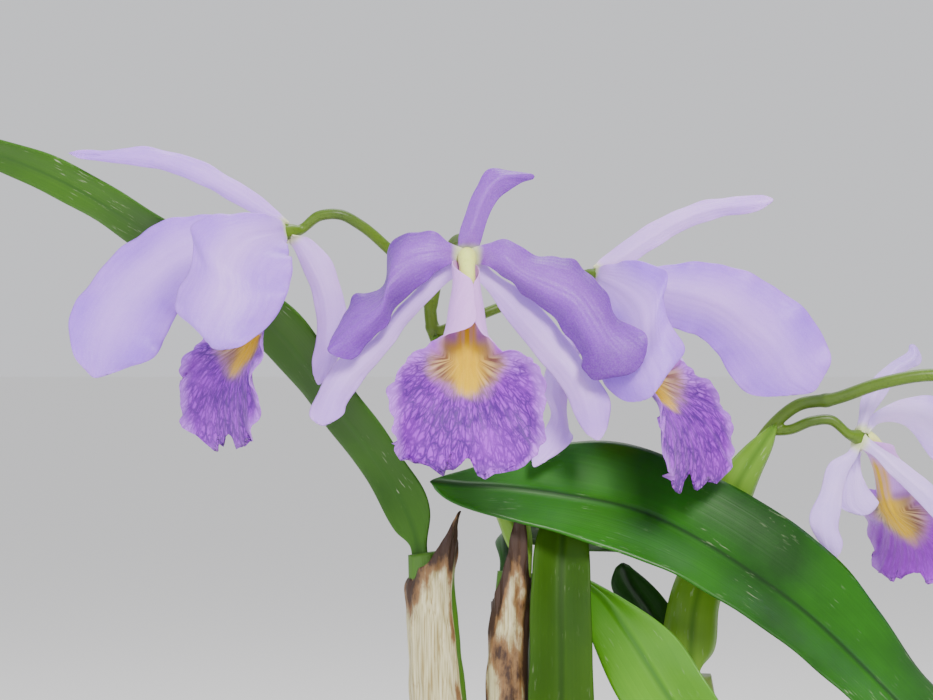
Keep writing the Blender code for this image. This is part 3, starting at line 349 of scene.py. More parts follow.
LEFT_BLADES = {
    "dorsal_sepal": [
        [(-3, 2, 8), (-4.5, 0, 5.5), (-5.5, 1, 3.5)], [(-15, 3, 17), (-17, 0, 13.5), (-19, 2, 11)],
        [(-32, 4, 26), (-33, 1, 22), (-33.5, 3, 18.5)], [(-49, 5, 29.5), (-49, 2, 26.5), (-49, 4, 23)],
        [(-64, 5, 28.5), (-65, 3, 27), (-66, 4, 25)],
        [(-75.5, 4, 28.5), (-75, 3.5, 27.5), (-74, 4, 26.3)]],
    "near_sepal": [
        [(3, 3, -5), (5, 1.5, -3.5), (7, 3, -1.5)], [(6, 4, -12.5), (10.5, 2, -11.5), (15, 5, -8.5)],
        [(10, 5, -23), (15, 3, -22.5), (20, 6, -21)], [(11, 6, -35), (16, 4, -34), (21.5, 7, -32)],
        [(9.5, 7, -44.5), (15, 5, -45), (18.5, 7, -43.5)],
        [(9.5, 7, -51), (11.5, 7, -53), (13.5, 7, -52.5)]],
    "far_sepal": [
        [(-7, 7, -5.5), (-5, 6, -7), (-3, 7, -8)], [(-18, 13, -18), (-14.5, 11, -20), (-11, 13, -22)],
        [(-25, 15, -32), (-20, 13, -34), (-15, 15, -36)],
        [(-29, 15, -45), (-24, 13, -47), (-19, 15, -48)],
        [(-29, 14, -54), (-27, 13, -56), (-24.5, 14, -55.5)]],
    "near_petal": [
        [(-2, -8, 4.5), (-1, -8.5, 1.5), (0, -8, -1.5), (1.5, -7, -4)],
        [(-18, -18, 5.5), (-16, -22, -1), (-9, -22.5, -7), (3.5, -16, -9)],
        [(-30, -22, 1), (-23, -29, -8), (-12, -29.5, -15.5), (4.5, -23, -15)],
        [(-28.5, -25, -10.5), (-22, -31, -17), (-12, -32, -24), (2.5, -27, -23)],
        [(-34.5, -26, -21.5), (-26, -33, -27), (-16, -35, -32), (-2, -30, -31.5)],
        [(-33.5, -28, -27.5), (-27, -34, -32.5), (-19, -37, -38), (-9, -35, -38)],
        [(-26, -31, -33), (-24, -34, -37), (-20.5, -36, -40.5), (-16, -36, -41)]],
    "far_petal": [
        [(-11, 5, 3), (-9, 4, 0), (-7, 5, -3)], [(-27, 10, 6.5), (-24, 6, -3), (-19, 9, -12)],
        [(-44, 12, 4), (-39, 7, -8), (-30, 12, -21)], [(-58, 13, -5), (-50, 7, -17), (-38, 12, -28)],
        [(-70.5, 12, -19.5), (-59, 7, -27), (-42, 10, -36)],
        [(-76, 10, -30.5), (-64, 7, -37.5), (-46, 8, -43.5)],
        [(-74, 9, -42), (-66, 8, -46), (-55, 8, -47)],
        [(-70, 9, -48.5), (-67, 9, -50.5), (-62.5, 9, -50)]],
}
RIGHT_BLADES = {
    "dorsal_sepal": [
        [(1, 2, 6), (4, 0, 4), (7.5, 1, 2)], [(13, 3, 15), (15, 1, 11.5), (18.5, 2, 9)],
        [(26.5, 4, 23), (28, 1, 19.5), (31, 3, 16.5)], [(42, 4, 27.5), (42.5, 1, 24.5), (44, 3, 21)],
        [(53.5, 3, 28.5), (54.5, 1, 25.5), (54.5, 2, 22.5)],
        [(61, 2, 28.3), (62, 1, 26.8), (60.5, 1, 25)]],
    "near_sepal": [
        [(-5, -1, -5), (-3.5, -2, -6.5), (-2, -1, -7.5)],
        [(-9, 2, -16.5), (-6, 0, -18.5), (-2, 3, -20)],
        [(-16.5, 0, -28.5), (-12, -2, -30), (-8, 1, -31)],
        [(-19.5, -3, -39), (-15, -5, -41), (-11, -2, -42)],
        [(-17, -8, -49.5), (-13.5, -10, -51), (-10.5, -7, -53)],
        [(-21, -13, -57), (-16, -14, -58.5), (-9.5, -12, -57.5)],
        [(-25, -17, -65), (-23, -18, -66.5), (-19.5, -17, -65.5)]],
    "far_sepal": [
        [(6, 5, -4.5), (4, 4, -7), (1.5, 5, -8.5)], [(18, 10, -14), (14, 8, -18), (10, 10, -21)],
        [(30, 12, -28), (25, 10, -32), (20, 12, -35)], [(38, 12, -42), (33, 10, -45), (28, 12, -47)],
        [(42, 11, -54), (39, 10, -56), (36, 11, -56)]],
    "near_petal": [
        [(2, -8, 3.5), (1, -8.5, 0.5), (0, -8, -2.5), (-1.5, -7, -4.5)],
        [(13, -18, 4.5), (12, -22, -3), (5, -21, -9), (-3, -15, -11.5)],
        [(22.5, -26, 0.5), (18, -29, -8), (9, -28, -17), (-4, -21, -20)],
        [(21, -29, -8), (18, -32, -16), (10, -32, -25), (-3.5, -25, -28.5)],
        [(22.5, -34, -17), (18, -38, -25), (10.5, -36, -32), (0, -28, -36.5)],
        [(27.5, -36, -26), (21, -40.5, -32), (13, -39, -38), (5.5, -31, -42)],
        [(23, -39, -33), (19, -41, -38), (16, -40.5, -42), (13, -37, -45)]],
    "far_petal": [
        [(12, 6, 2), (11, 4, -2), (9, 6, -6)], [(31, 11, 5), (28, 6, -5), (24, 10, -17)],
        [(48, 13, 4), (42, 7, -9), (35, 11, -20.5)], [(65.5, 13, -4.5), (55, 8, -18), (43, 11, -27)],
        [(77, 12, -14.5), (63.5, 8, -26), (48, 10, -35.5)],
        [(83.5, 11, -27), (69.5, 8, -35.5), (55, 9, -42)],
        [(82, 10, -37.5), (77, 9, -41), (69, 9, -43)]],
}
FAR_BLADES = {
    "dorsal_sepal": [
        [(-1.5, 0, 4.5), (0.5, -1, 5), (2.5, 1, 4.5)], [(0.5, 1, 14), (3.5, -1, 13.5), (7, 1, 12.5)],
        [(4.5, 2, 21), (8, 0, 19.5), (11.5, 2, 18.5)], [(10.5, 3, 26.5), (13, 1, 25), (17, 3, 24)],
        [(17.5, 3, 31), (19.5, 2, 29.5), (22, 4, 28)], [(18, 4, 34), (19.3, 3.5, 33.4), (20.5, 4, 33)]],
    "left_sepal": [
        [(-4.5, -1, -4.5), (-3, -2, -5.5), (-1.5, -1, -6.5)],
        [(-11.5, -2, -9), (-8, -3, -10.5), (-4.5, -1.5, -12)],
        [(-15, -3, -19), (-11, -4, -20), (-7, -2, -21)],
        [(-19, -4, -30), (-13, -5, -31), (-8.5, -3, -32.5)],
        [(-15, -4, -38), (-12, -5, -38.5), (-7, -4, -38)],
        [(-11, -4, -42.5), (-9.8, -4.3, -43), (-8.5, -4, -42.5)]],
    "right_sepal": [
        [(3, -2.5, -0.5), (3, -3.5, -3), (2, -3, -5)], [(14, -3, -8), (12.5, -5, -11), (10, -4, -13)],
        [(26, -4, -17.5), (24, -6, -21), (21, -5, -24)], [(38, -5, -29), (35, -6, -33), (31, -5, -35)],
        [(47, -4, -42), (44, -5, -44), (40, -4, -45)], [(49.5, -3, -50), (48, -4, -51), (46, -3, -51)]],
    "left_petal": [
        [(-3, 4, -5), (-1, 3, -6), (0.5, 3.5, -6.5)], [(-8, 4, -16), (-3, 3, -17), (1.5, 3.5, -15.5)],
        [(-9, 4, -23), (-2, 3, -24.5), (5, 3.5, -20.5)], [(-4, 4, -27), (2, 3.5, -28), (8, 4, -24.5)]],
    "right_petal": [
        [(4, 4, 7.8), (5.5, 3.5, 6.5), (7, 4, 5)], [(14, 7, 13), (15.5, 6, 8.5), (16.5, 6.5, 4.5)],
        [(27, 9, 15), (27, 6, 4.5), (26, 7, -7)], [(42, 9, 9.5), (38.5, 6, -2.5), (33, 7, -15)],
        [(50, 8, -4), (44, 6, -13), (36, 7, -22)], [(51, 7, -16), (46, 6, -21), (40, 7, -26)],
        [(47.5, 7, -25.5), (45, 7, -27), (42.5, 7, -28)]],
}
# A bloom: its centre, the way it faces, how far its lip reaches forward and hangs down
# (1 is the middle bloom's), and its blades.
BLOOMS = {
    "bloom_left": ((-63.1, 15.0, 360.8), (-0.82, -0.56, -0.12), 0.95, 1.0, LEFT_BLADES),
    "bloom_middle": ((0.2, 0.0, 351.3), (0.0, -1.0, 0.0), 1.0, 1.0, MIDDLE_BLADES),
    "bloom_right": ((46.4, 34.0, 346.1), (0.82, -0.56, -0.06), 1.35, 1.0, RIGHT_BLADES),
    "bloom_far": ((141.7, 50.0, 288.4), (0.76, 0.60, -0.22), 1.25, 0.62, FAR_BLADES),
}
print("blooms:", ", ".join(BLOOMS))

# %% [markdown]
# The rest of the plant follows the same idea: pseudobulbs and stems are routes with a radius at
# each point, leaves are nets. All lengths are in millimetres in the plant's own frame: x to the
# viewer's right from the middle bloom, y away from the viewer, z up from the pot's foot.

# %% Routes of the pseudobulbs and nets of the leaves
# Pseudobulb: path of its centre line from the rhizome up, and its radius at each point.
PSEUDOBULBS = {
    "pseudobulb_1": ([(12, 24, 112.3), (12, 24, 119), (4, 25, 138), (-5, 25, 165), (-10, 25, 200),
        (-12, 25, 228), (-15, 26, 249)],
        [4, 5.6, 8.5, 10, 9, 8, 5.5]),
    "pseudobulb_2": ([(31, 28, 112.3), (31, 28, 120), (24, 28, 145), (16, 28, 185), (15, 28, 215),
        (17, 29, 242)],
        [4, 5.4, 7.5, 8, 6.8, 6.2]),
    "pseudobulb_3": ([(52, 14, 112.3), (52, 14, 119), (44, 17, 133), (36, 20, 150)],
        [4, 6, 8.5, 5.5]),
    "pseudobulb_4": ([(84, 42, 112.3), (84, 42, 120), (86, 44, 142), (83, 44, 175), (79, 43, 203)],
        [4.5, 6.5, 10, 9.5, 8.5]),
    "pseudobulb_5": ([(96, 8, 112.3), (96, 8, 118), (94, 8, 133), (90, 8, 150)],
        [4, 6.4, 9.5, 5.5]),
    "pseudobulb_6": ([(119, 12, 112.3), (119, 12, 118), (138, 9, 127), (157, 5, 135), (167, 3, 149)],
        [4.5, 5.4, 10, 9, 5.5]),
}
# Leaf: the pseudobulb that bears it, where its root stands on that pseudobulb's top, the
# half width there, and rows of (left margin, rib, right margin).
LEAVES = {
    "leaf_a": ("pseudobulb_1", (-1.5, 2), 3.4, [
        [(-25, 33, 256), (-19, 29, 259), (-13, 24, 263)],
        [(-36, 42, 275), (-30, 35, 279), (-23, 26, 283)],
        [(-54, 48, 298), (-48, 39, 303), (-40, 28, 307)],
        [(-74, 50, 321), (-67, 41, 327), (-58, 29, 331)],
        [(-100, 50, 343), (-93, 41, 349), (-85, 29, 352)],
        [(-122, 48, 359), (-116, 39, 364), (-108, 29, 367)],
        [(-151, 44, 377), (-146, 37, 382), (-140, 28, 385.5)],
        [(-173, 40, 386), (-170, 34, 391), (-166, 27, 394.5)],
        [(-196, 36, 391), (-196, 32, 395), (-195, 27, 398)],
        [(-212, 32, 393), (-213, 30.5, 394), (-213.5, 29, 395.5)]]),
    "leaf_b": ("pseudobulb_6", (0, 0), 4.5, [
        [(163, 0, 161), (171, 3, 160), (179, 7, 161)], [(146, 4, 183), (162, 12, 181), (180, 22, 183)],
        [(129, 8, 203), (144.5, 22, 202), (162, 37, 205)],
        [(112, 9, 217), (128, 25, 218.5), (146, 40, 228)],
        [(92, 9, 231.5), (110, 26, 234), (131, 40, 246.5)],
        [(72, 10, 242.5), (89, 27, 248.5), (110, 40, 262.5)],
        [(45, 12, 253), (60, 28, 263), (79, 40, 279)],
        [(20, 12, 260), (33.5, 24, 269), (49, 36, 288)], [(2, 12, 265), (12, 20, 272), (18, 29, 284)],
        [(-8, 13, 269), (-4, 16, 273), (-1, 20, 278)],
        [(-12.2, 14, 273), (-12.7, 14.8, 274.3), (-12, 15.5, 275.6)]]),
    "leaf_c": ("pseudobulb_3", (0, 0), 4.5, [
        [(25, 17, 166), (33.5, 21, 165), (42, 17, 166)],
        [(21.5, 15, 190), (33, 20, 190), (44, 15, 190)],
        [(22, 15, 215), (33, 20, 215), (43.5, 15, 215)],
        [(22.5, 17, 240), (33, 23, 240), (43, 18, 240)],
        [(25, 24, 256), (34, 29, 257), (42.5, 25, 255)], [(29, 31, 266), (36, 35, 268), (42, 33, 263)],
        [(34.5, 36, 272), (36, 36.5, 272.5), (37.5, 36.5, 271.5)]]),
    "leaf_d": ("pseudobulb_5", (0, 0), 4.5, [
        [(79, 8, 163), (87, 11, 164), (95, 6, 165)], [(66, 13, 180), (80, 14, 184), (92, 7, 188)],
        [(52, 23, 200), (68, 20, 204), (81, 11, 208)], [(44, 28, 218), (57, 26, 221), (70, 19, 223)],
        [(39, 31, 232), (47.5, 30, 234), (55, 26, 233)],
        [(36, 32, 240.5), (37.5, 32, 241.5), (39.5, 31.5, 241)]]),
    "leaf_e": ("pseudobulb_2", (-2.5, 3.6), 3, [
        [(11, 42, 252), (15, 40, 256), (19, 39, 259)], [(33, 54, 248), (34, 53, 257), (36, 51, 265)],
        [(60, 62, 246), (60, 60, 255), (60, 58, 264)], [(90, 68, 240), (88, 66, 249), (86, 64, 257)],
        [(115, 72, 227), (111, 70, 235), (107, 68, 242)],
        [(131, 75, 212), (129.5, 74.5, 214), (128, 74, 216)]]),
    "leaf_f": ("pseudobulb_4", (-4, 4.2), 3, [
        [(66, 48, 211), (72, 49, 213), (78, 50, 215)],
        [(57, 51, 226), (65, 52.5, 227), (73, 53.5, 228)],
        [(52, 53, 236), (58, 54.5, 237), (65, 55, 237)],
        [(54, 54.5, 242.5), (56, 55, 243), (58, 55.5, 242.5)]]),
}
print("pseudobulbs:", len(PSEUDOBULBS), "leaves:", len(LEAVES))

# %% [markdown]
# A flower stem is a peduncle with pedicels that leave it, each ending at a bloom. A spathe is the
# flat green sheath in front of a stem. The rhizome lies on the bark and ties all the shoots
# together, and its roots run over and into the bark.

# %% Routes of the stems, spathes and roots
# Flower stem: the pseudobulb that bears it, where it stands on the top, the peduncle's route from
# there, and for each bloom the pedicel that leads to it.
FLOWER_STEMS = {
    "flower_stem_1": ("pseudobulb_2", (2.2, -0.4), [(17.5, 32.5, 258), (12, 37, 272), (4, 38, 292),
        (-6, 36, 314), (-12, 32, 328), (-13, 30, 338)], {
        "bloom_left": [(-12.5, 30, 334), (-16.5, 29, 343), (-21.6, 27, 349.5), (-28.5, 24, 356.5),
            (-37, 20, 363.5), (-44, 18, 367), (-51, 18, 366.5)],
        "bloom_middle": [(-12.5, 30, 333), (-9.5, 30, 347), (-4.5, 25, 357.5), (-1, 15, 358)],
        "bloom_right": [(-11, 30, 326), (-3, 31, 329), (9, 34, 334), (22, 37, 339), (33, 39, 344)]}),
    "flower_stem_2": ("pseudobulb_4", (2.2, 0.2), [(83, 45.5, 222), (91, 50.5, 252), (101.5, 52, 280),
        (110.5, 49.5, 293.5), (119, 45, 300.5), (130, 40, 302.5), (146.5, 34, 308.3), (165, 31, 311.2),
        (179, 30, 309), (190, 29, 302)], {
        "bloom_far": [(108, 50, 291), (116, 48, 291.5), (123.5, 46, 294.5), (130, 45.5, 295)]}),
}
BUD_PATH = [(190.4, 29, 301.6), (194, 28.7, 299), (200, 28, 293), (206, 27, 285), (209, 26.5, 279)]
BUD_RADII = [2.4, 4.4, 6.2, 4.6, 0.8]
# Spathe: its pseudobulb, its place on the top, and stations of (x, y, z, half width, depth of fold).
SPATHES = {
    "spathe_1": ("pseudobulb_2", (2.6, -4.6), [(17.5, 27.5, 256, 5, 4.5), (11, 32.5, 274, 6, 4.5),
        (1.5, 33.5, 297, 5.5, 4), (-6, 31.5, 315, 4.2, 3), (-11, 28, 325, 1, 0.6)]),
    "spathe_2": ("pseudobulb_4", (0.8, -5.2), [(79.5, 39, 213, 8.5, 4.5), (81, 41, 228, 9, 4.5),
        (87.5, 45, 247, 8.5, 4.5), (98, 47.5, 274, 7, 4), (106, 46, 287, 4, 2.5),
         (110, 45, 293, 1, 0.6)]),
}
# The rhizome's centre is level; each root drops from its pseudobulb's foot to the bark.
RHIZOME_Z, ROOT_START_Z, ROOT_BEND_Z, ROOT_Z = 104.5, 103, 101, 99.9
RHIZOME_PLAN = [(6, 24), (31, 27), (52, 18), (72, 22), (96, 12), (119, 12), (130, 14)]
BRANCH_PLAN = [(72, 22), (78, 32), (84, 43)]
ROOT_PLANS = [
    [(12, 24), (10, 8), (18, -12), (26, -26)], [(31, 28), (30, 45), (22, 58), (26, 70)],
    [(52, 18), (56, 0), (50, -18), (58, -34)], [(84, 42), (92, 56), (88, 68), (96, 76)],
    [(96, 12), (92, -8), (100, -24), (96, -36)], [(119, 12), (124, -6), (118, -18), (126, -26)]]
ROOT_HEIGHTS = (ROOT_START_Z, ROOT_BEND_Z, ROOT_Z, ROOT_Z)
RHIZOME_PATH = [(x, y, RHIZOME_Z) for x, y in RHIZOME_PLAN]
RHIZOME_BRANCH = [(x, y, RHIZOME_Z) for x, y in BRANCH_PLAN]
ROOTS = [[(x, y, z) for (x, y), z in zip(plan, ROOT_HEIGHTS)] for plan in ROOT_PLANS]
print("flower stems:", len(FLOWER_STEMS), "spathes:", len(SPATHES), "roots:", len(ROOTS))

# %% [markdown]
# Living petals are never ruled sheets. Three small movements make them believable: the margin
# waves where it grew faster than the middle, the midline sinks into a shallow groove, and fine
# veins lift the surface. All are pushes along the sheet's own normals, so the outline that the
# net gives stays where it is.

# %% Waves, grooves and veins
def rising(value, start, pace):
    """0 up to start, then growing at pace to 1. With a negative pace it falls to 0 at start."""
    return np.clip((value - start) * pace, 0, 1)


def waves(across, along_mm, height, length, seed):
    """Push in mm that grows toward both margins, with waves of a real length along them."""
    phases = np.random.default_rng(seed).uniform(0, 2 * math.pi, 4)
    side = np.sign(across)
    angle = 2 * math.pi * along_mm / length
    push = np.sin(angle + phases[0] + side * phases[1])
    push = push + 0.55 * np.sin(1.93 * angle + phases[2] + side * phases[3])
    grown = rising(along_mm / max(along_mm.max(), 1e-6), 0, 4)
    return height * np.abs(across)**3 * push * grown


def groove(across_mm, depth, half_width):
    return -depth * np.exp(-(across_mm / half_width)**2)


def vein_relief(across, along, height, count):
    """Low ridges that run from root to tip and spread with the blade."""
    return height * np.cos(math.pi * count * across) * rising(along, 0, 3)


def undulation(grid, height, size, seed):
    """Slow random pushes, so that no sheet is perfectly even."""
    shift = Vector((seed * 3.7, seed * 1.3, seed * 2.1))
    values = [noise.noise(Vector(p) / size + shift) for p in grid.reshape(-1, 3)]
    return height * np.array(values).reshape(grid.shape[:2])


def margin_thickness(across, along, thick, edge_share):
    """Full thickness in the middle, thinning to edge_share of it at the margins and tip."""
    edge = np.clip(np.abs(across), 0, 1)**6
    edge = np.maximum(edge, rising(along, 0.9, 10)**3)
    return thick * (1 - (1 - edge_share) * edge)


print("ruffle of a 60 mm margin, sampled:",
      np.round(waves(np.ones(4), np.linspace(0, 60, 4), 1.0, 15.0, 1), 2))

# %% [markdown]
# Petal tissue is a thin wet film: large round cells under a skin of tiny domes. They scatter light
# softly inside, and sparkle where a dome faces the lamp. So the material is a soft subsurface
# base, a fine bump at the scale of those cells (drawn coarser, because a cell of 0.05 mm would be
# far under one pixel), veins that branch along the petal as slightly deeper lines, and a painted
# glint: faint pale specks screened into the colour where the cells peak.

# %% Petal and sepal tissue
MAIN_VEIN_SPACING = 2.2 * MM
VEIN_STRETCH = 7.0
CELL_SIZE = 0.5 * MM
BLOOM_ROOT_GREEN = "#CFDB98"


def blade_place(tree):
    """Place on the flat blade: the vector, across and along in metres, and along from 0 to 1."""
    vector = add(tree, "Attribute", attribute_name="flat")
    return (vector, *add(tree, "SeparateXYZ", vector))


def vein_lines(tree, place, scale, drift_scale, wander, unevenness, stops):
    """Lines where veins run: the edges of a net of cells, drawn out along the blade."""
    laid = add(tree, "Mapping", place, scale)
    drift = add(tree, "TexNoise", laid, drift_scale, 3.0, out="Color")
    bent = add(tree, "Mix", wander, laid, drift, blend_type="LINEAR_LIGHT")
    cells = add(tree, "TexVoronoi", bent, 1.0, unevenness, feature="DISTANCE_TO_EDGE")
    return add(tree, "ValToRGB", cells, stops=stops)


def petal_tissue(name, pale, deep, vein, midway, vein_strength, gloss):
    """Soft, slightly sparkling film with painted glint specks and branching veins, paler along its
    middle and at its root.
    """
    made, tree = new_material(name)
    place, across, along, share = blade_place(tree)
    spacing = (1 / MAIN_VEIN_SPACING, 1 / (MAIN_VEIN_SPACING * VEIN_STRETCH), 1)
    veins = vein_lines(tree, place, spacing, 0.9, 0.35, 0.85, [(0.0, 1.0), (0.14, 0.0)])
    coords = add(tree, "TexCoord")
    clouds = add(tree, "TexNoise", coords, 45.0, 4.0)
    tint = add(tree, "ValToRGB", clouds, stops=[(0.35, pale), (0.7, deep)])
    lined = add(tree, "Mix", overlap(tree, veins, vein_strength), tint, vein)
    side = add(tree, "Math", across, operation="ABSOLUTE")
    middle = add(tree, "MapRange", side, 1 * MM, 13 * MM, 0.5, 0.0, **SMOOTH)
    fading = add(tree, "MapRange", share, 0.45, 0.95, 1.0, 0.2)
    glowing = add(tree, "Mix", overlap(tree, middle, fading), lined, midway)
    root = add(tree, "MapRange", along, 1 * MM, 5 * MM, 0.9, 0.0, **SMOOTH)
    rooted = add(tree, "Mix", root, glowing, BLOOM_ROOT_GREEN)
    cells = add(tree, "TexNoise", coords, 1 / CELL_SIZE, 2.0)
    # Painted glint: pale specks screened into the base colour stand in for highlights off the cells.
    painted_glint = add(tree, "MapRange", cells, 0.42, 0.66, 0.0, 0.05)
    height = add(tree, "Math", veins, -0.2, cells, operation="MULTIPLY_ADD")
    finish(tree, {
        "Base Color": add(tree, "Mix", painted_glint, rooted, "#F3EEFF", blend_type="SCREEN"),
        "Roughness": add(tree, "MapRange", cells, 0.3, 0.75, gloss + 0.12, gloss - 0.1),
        "Normal": add(tree, "Bump", height, 0.2, 0.3 * MM), "Specular IOR Level": 0.35,
        "Subsurface Weight": 0.25, "Subsurface Radius": (1.0, 0.7, 0.9), "Subsurface Scale": 1.2 * MM,
        "Sheen Weight": 0.05})
    return made


# Each tissue: pale and deep ground, vein and midline colours, strength of the veins, roughness.
SEPAL_TISSUE = petal_tissue("sepal_tissue", "#CC9EFC", "#BA86F8", "#9A5AE4", "#DDBCFF", 0.12, 0.42)
PETAL_TISSUE = petal_tissue("petal_tissue", "#B47CF8", "#9C60EE", "#8244DC", "#D8AEFF", 0.14, 0.42)
DEEP_PETAL_TISSUE = petal_tissue("deep_petal_tissue", "#7A2CB6", "#5C1A90", "#440E7E", "#9E58D2",
                                 0.22, 0.44)
PALE_TISSUE = petal_tissue("pale_tissue", "#C8A8F6", "#AE8AEC", "#9468DE", "#DCC4FC", 0.12, 0.42)
print("petal tissues: sepal, petal, deep petal, pale")

# %% [markdown]
# Each bloom has three narrow sepals, two broad petals, a lip and a column. Sepals and petals are
# made in one way: the net with its root row, a smooth sheet, then the small movements above.
# Petals ruffle more than sepals, and their margins are thinner.

# %% Sepals and petals
BLADE_ROOT_HALF = 2.9
BLADE_ROOT_REACH = 1.9
# Depth and half width of the groove, and height and size of the slow warp, all in mm.
BLADE_GROOVE, BLADE_WARP = (0.35, 1.2), (0.5, 14.0)
MARGIN_SHARE = 0.5
# How a blade is made: where its root stands in front of the knob's middle, its thickness, rows and
# columns of points, height and length of its margin waves, height and number of its vein ridges,
# and the share of its length that rounds its tip.
BLADE_MAKE = {
    "sepal": (-1.5, 0.65, 64, 25, 0.35, 21.0, 0.05, 7, 0.07),
    "petal": (0.4, 0.5, 84, 49, 0.7, 17.0, 0.05, 13, 0.09),
}
SIDE_BLOOM_TISSUE = {"sepal": SEPAL_TISSUE, "petal": PETAL_TISSUE}
BLADE_TISSUE = {
    "bloom_left": SIDE_BLOOM_TISSUE,
    "bloom_middle": {"sepal": SEPAL_TISSUE, "petal": DEEP_PETAL_TISSUE},
    "bloom_right": SIDE_BLOOM_TISSUE,
    "bloom_far": {"sepal": PALE_TISSUE, "petal": PALE_TISSUE},
}
# The upper sepals of these blooms take their petals' deeper tissue: on the middle bloom for the
# sepal's deeper inner face, on the left bloom as painted shade.
DORSAL_DEPTH_AND_PAINTED_SHADE = {"bloom_left": PETAL_TISSUE, "bloom_middle": DEEP_PETAL_TISSUE}


def unit(vector):
    vector = np.asarray(vector, float)
    return vector / np.linalg.norm(vector)


def bloom_axes(facing):
    """Forward, sideways and upward directions of a bloom that faces along facing."""
    forward = unit(facing)
    sideways = unit(np.cross((0, 0, 1), forward))
    return forward, sideways, np.cross(forward, sideways)


def root_row(centre, forward, first_row, layer):
    """The row of points where a blade meets the round end of the pedicel."""
    toward = np.mean(first_row, axis=0)
    outward = unit(toward - forward * np.dot(toward, forward))
    across = np.cross(forward, outward)
    if np.dot(across, np.subtract(first_row[-1], first_row[0])) < 0:
        across = -across
    middle = centre + outward * BLADE_ROOT_REACH + forward * layer
    spread = np.linspace(-BLADE_ROOT_HALF, BLADE_ROOT_HALF, len(first_row))
    return [middle + across * s for s in spread]


def make_blade(bloom, part, seed):
    centre, facing, _, _, blades = BLOOMS[bloom]
    kind = "sepal" if part.endswith("sepal") else "petal"
    layer, thick, rows, columns, wave, wave_length, relief, veins, rounding = BLADE_MAKE[kind]
    centre, forward = np.array(centre), unit(facing)
    net = [[centre + np.array(point) for point in row] for row in blades[part]]
    net = [root_row(centre, forward, blades[part][0], layer)] + net
    grid, along, across = smooth_sheet(net, rows, columns, rounding)
    attributes, across_mm, along_mm = blade_attributes(grid, along, across)
    push = waves(across, along_mm, wave, wave_length, seed) + vein_relief(across, along, relief, veins)
    push = push + groove(across_mm, *BLADE_GROOVE) + undulation(grid, *BLADE_WARP, seed)
    grid = pushed(grid, push * rising(along, 0, 5))
    tissue = BLADE_TISSUE[bloom][kind]
    # The upper sepal's deeper tissue is painted shade on the left bloom.
    tissue = DORSAL_DEPTH_AND_PAINTED_SHADE.get(bloom, tissue) if part == "dorsal_sepal" else tissue
    thickness = margin_thickness(across, along, thick, MARGIN_SHARE)
    piece = sheet_object(f"{bloom}_{part}_blade", grid, thickness, tissue, attributes)
    return place_on(piece, f"{bloom}_{part}")


bloom_parts = [(bloom, part) for bloom, (*_, blades) in BLOOMS.items() for part in blades]
for number, (bloom, part) in enumerate(bloom_parts, start=1):
    make_blade(bloom, part, number)
print("sepals and petals:", len(bloom_parts))

# %% [markdown]
# The lip is the orchid's landing place: its sides curl up into a tube round the column, and its
# front opens into a broad frilled lobe. One sheet makes it all. At each station along its midline
# it has a half width and an angle that its sides curl through.

# %% Lip midline
LIP_ROWS, LIP_COLUMNS = 140, 131
LIP_TIP_ROUNDING = 0.12
LIP_SAMPLES = np.linspace(0, 1, 400)
# Where the throat ends and the veins start to fan out, as a share of the lip's length.
FAN_START = 0.43
# Each station of the lip: mm in front of the flower's middle, mm up, half width in mm and the
# angle in degrees that each side curls through. Near 180 the sides close into the tube.
LIP_FORM = [
    (1.6, -3.3, 4.1, 60), (5.0, -5.4, 6.2, 78), (8.4, -11.5, 13.2, 168), (11, -18.5, 17.8, 180),
    (12.9, -26, 20.5, 174), (14.4, -31.2, 18.5, 128), (16.5, -35.5, 16, 80), (20, -39.7, 21, 50),
    (25.5, -45.5, 25, 36), (29, -52, 26, 24), (31, -60, 25.2, 18), (31.5, -68, 21, 15),
    (31, -75, 11.5, 12)]


def lip_midline(reach, drop):
    """Columns read finely along the lip: ahead, up, half width, curl, heading and length."""
    table = smooth_curve(LIP_FORM, LIP_SAMPLES * (len(LIP_FORM) - 1), measured=2)
    table[:, 0] = LIP_FORM[0][0] + (table[:, 0] - LIP_FORM[0][0]) * reach
    table[:, 1] = table[0, 1] + (table[:, 1] - table[0, 1]) * drop
    heading = np.gradient(table[:, :2], axis=0)
    heading[0] = (1.0, 0.0)
    heading /= np.linalg.norm(heading, axis=1, keepdims=True)
    return [*table.T, *heading.T, run_length(table[:, :2])]


print("middle lip's length in mm:", round(lip_midline(1.0, 1.0)[-1][-1], 1))

# %% [markdown]
# The frill is a margin that grew longer than the sheet can hold flat: a wave with a real length
# of 4 to 9 mm. Scallops cut the edge between its folds, and a notch parts the lobe's tip. Noise
# that is read along the margin gives all of them an uneven, grown rhythm.

# %% Lip frill and surface
MARGIN_RADIUS = 36.0
# Waves of the frill and of the scallops: length in mm, then height in mm or as a share.
FRILLS = ((9.0, 3.4), (4.4, 2.2))
SCALLOPS = ((7.0, 0.19), (3.4, 0.12))
NOTCH_DEPTH, NOTCH_WIDTH = 0.07, 0.26
# Where the lobe, its tip and the notch begin, and where the tube and the throat end.
LOBE_FROM, TIP_FROM, NOTCH_FROM, TUBE_TO, THROAT_FROM, THROAT_TO = 0.42, 0.84, 0.75, 0.46, 0.3, 0.66
SHOULDER_RISE, SHOULDER_PLACE = 1.2, 7 / 12
TUBE_OVERLAP = -0.09
KEEL_HEIGHT, VEIN_HEIGHT, VEIN_COUNT = 0.7, 0.12, 44


def ray_noise(angle, radius, parts, seed, cusped=False):
    """Uneven waves along the margin, each with a length in mm and a height. cusped turns dips up."""
    total = np.zeros(angle.shape)
    for number, (length, height) in enumerate(parts):
        points = np.stack([angle * MARGIN_RADIUS / length, radius / (5 * length)], axis=-1)
        values = [noise.noise(Vector((x, y, seed + 3.7 * number))) for x, y in points.reshape(-1, 2)]
        values = np.array(values).reshape(angle.shape)
        total += height * (np.abs(values) if cusped else values)
    return total


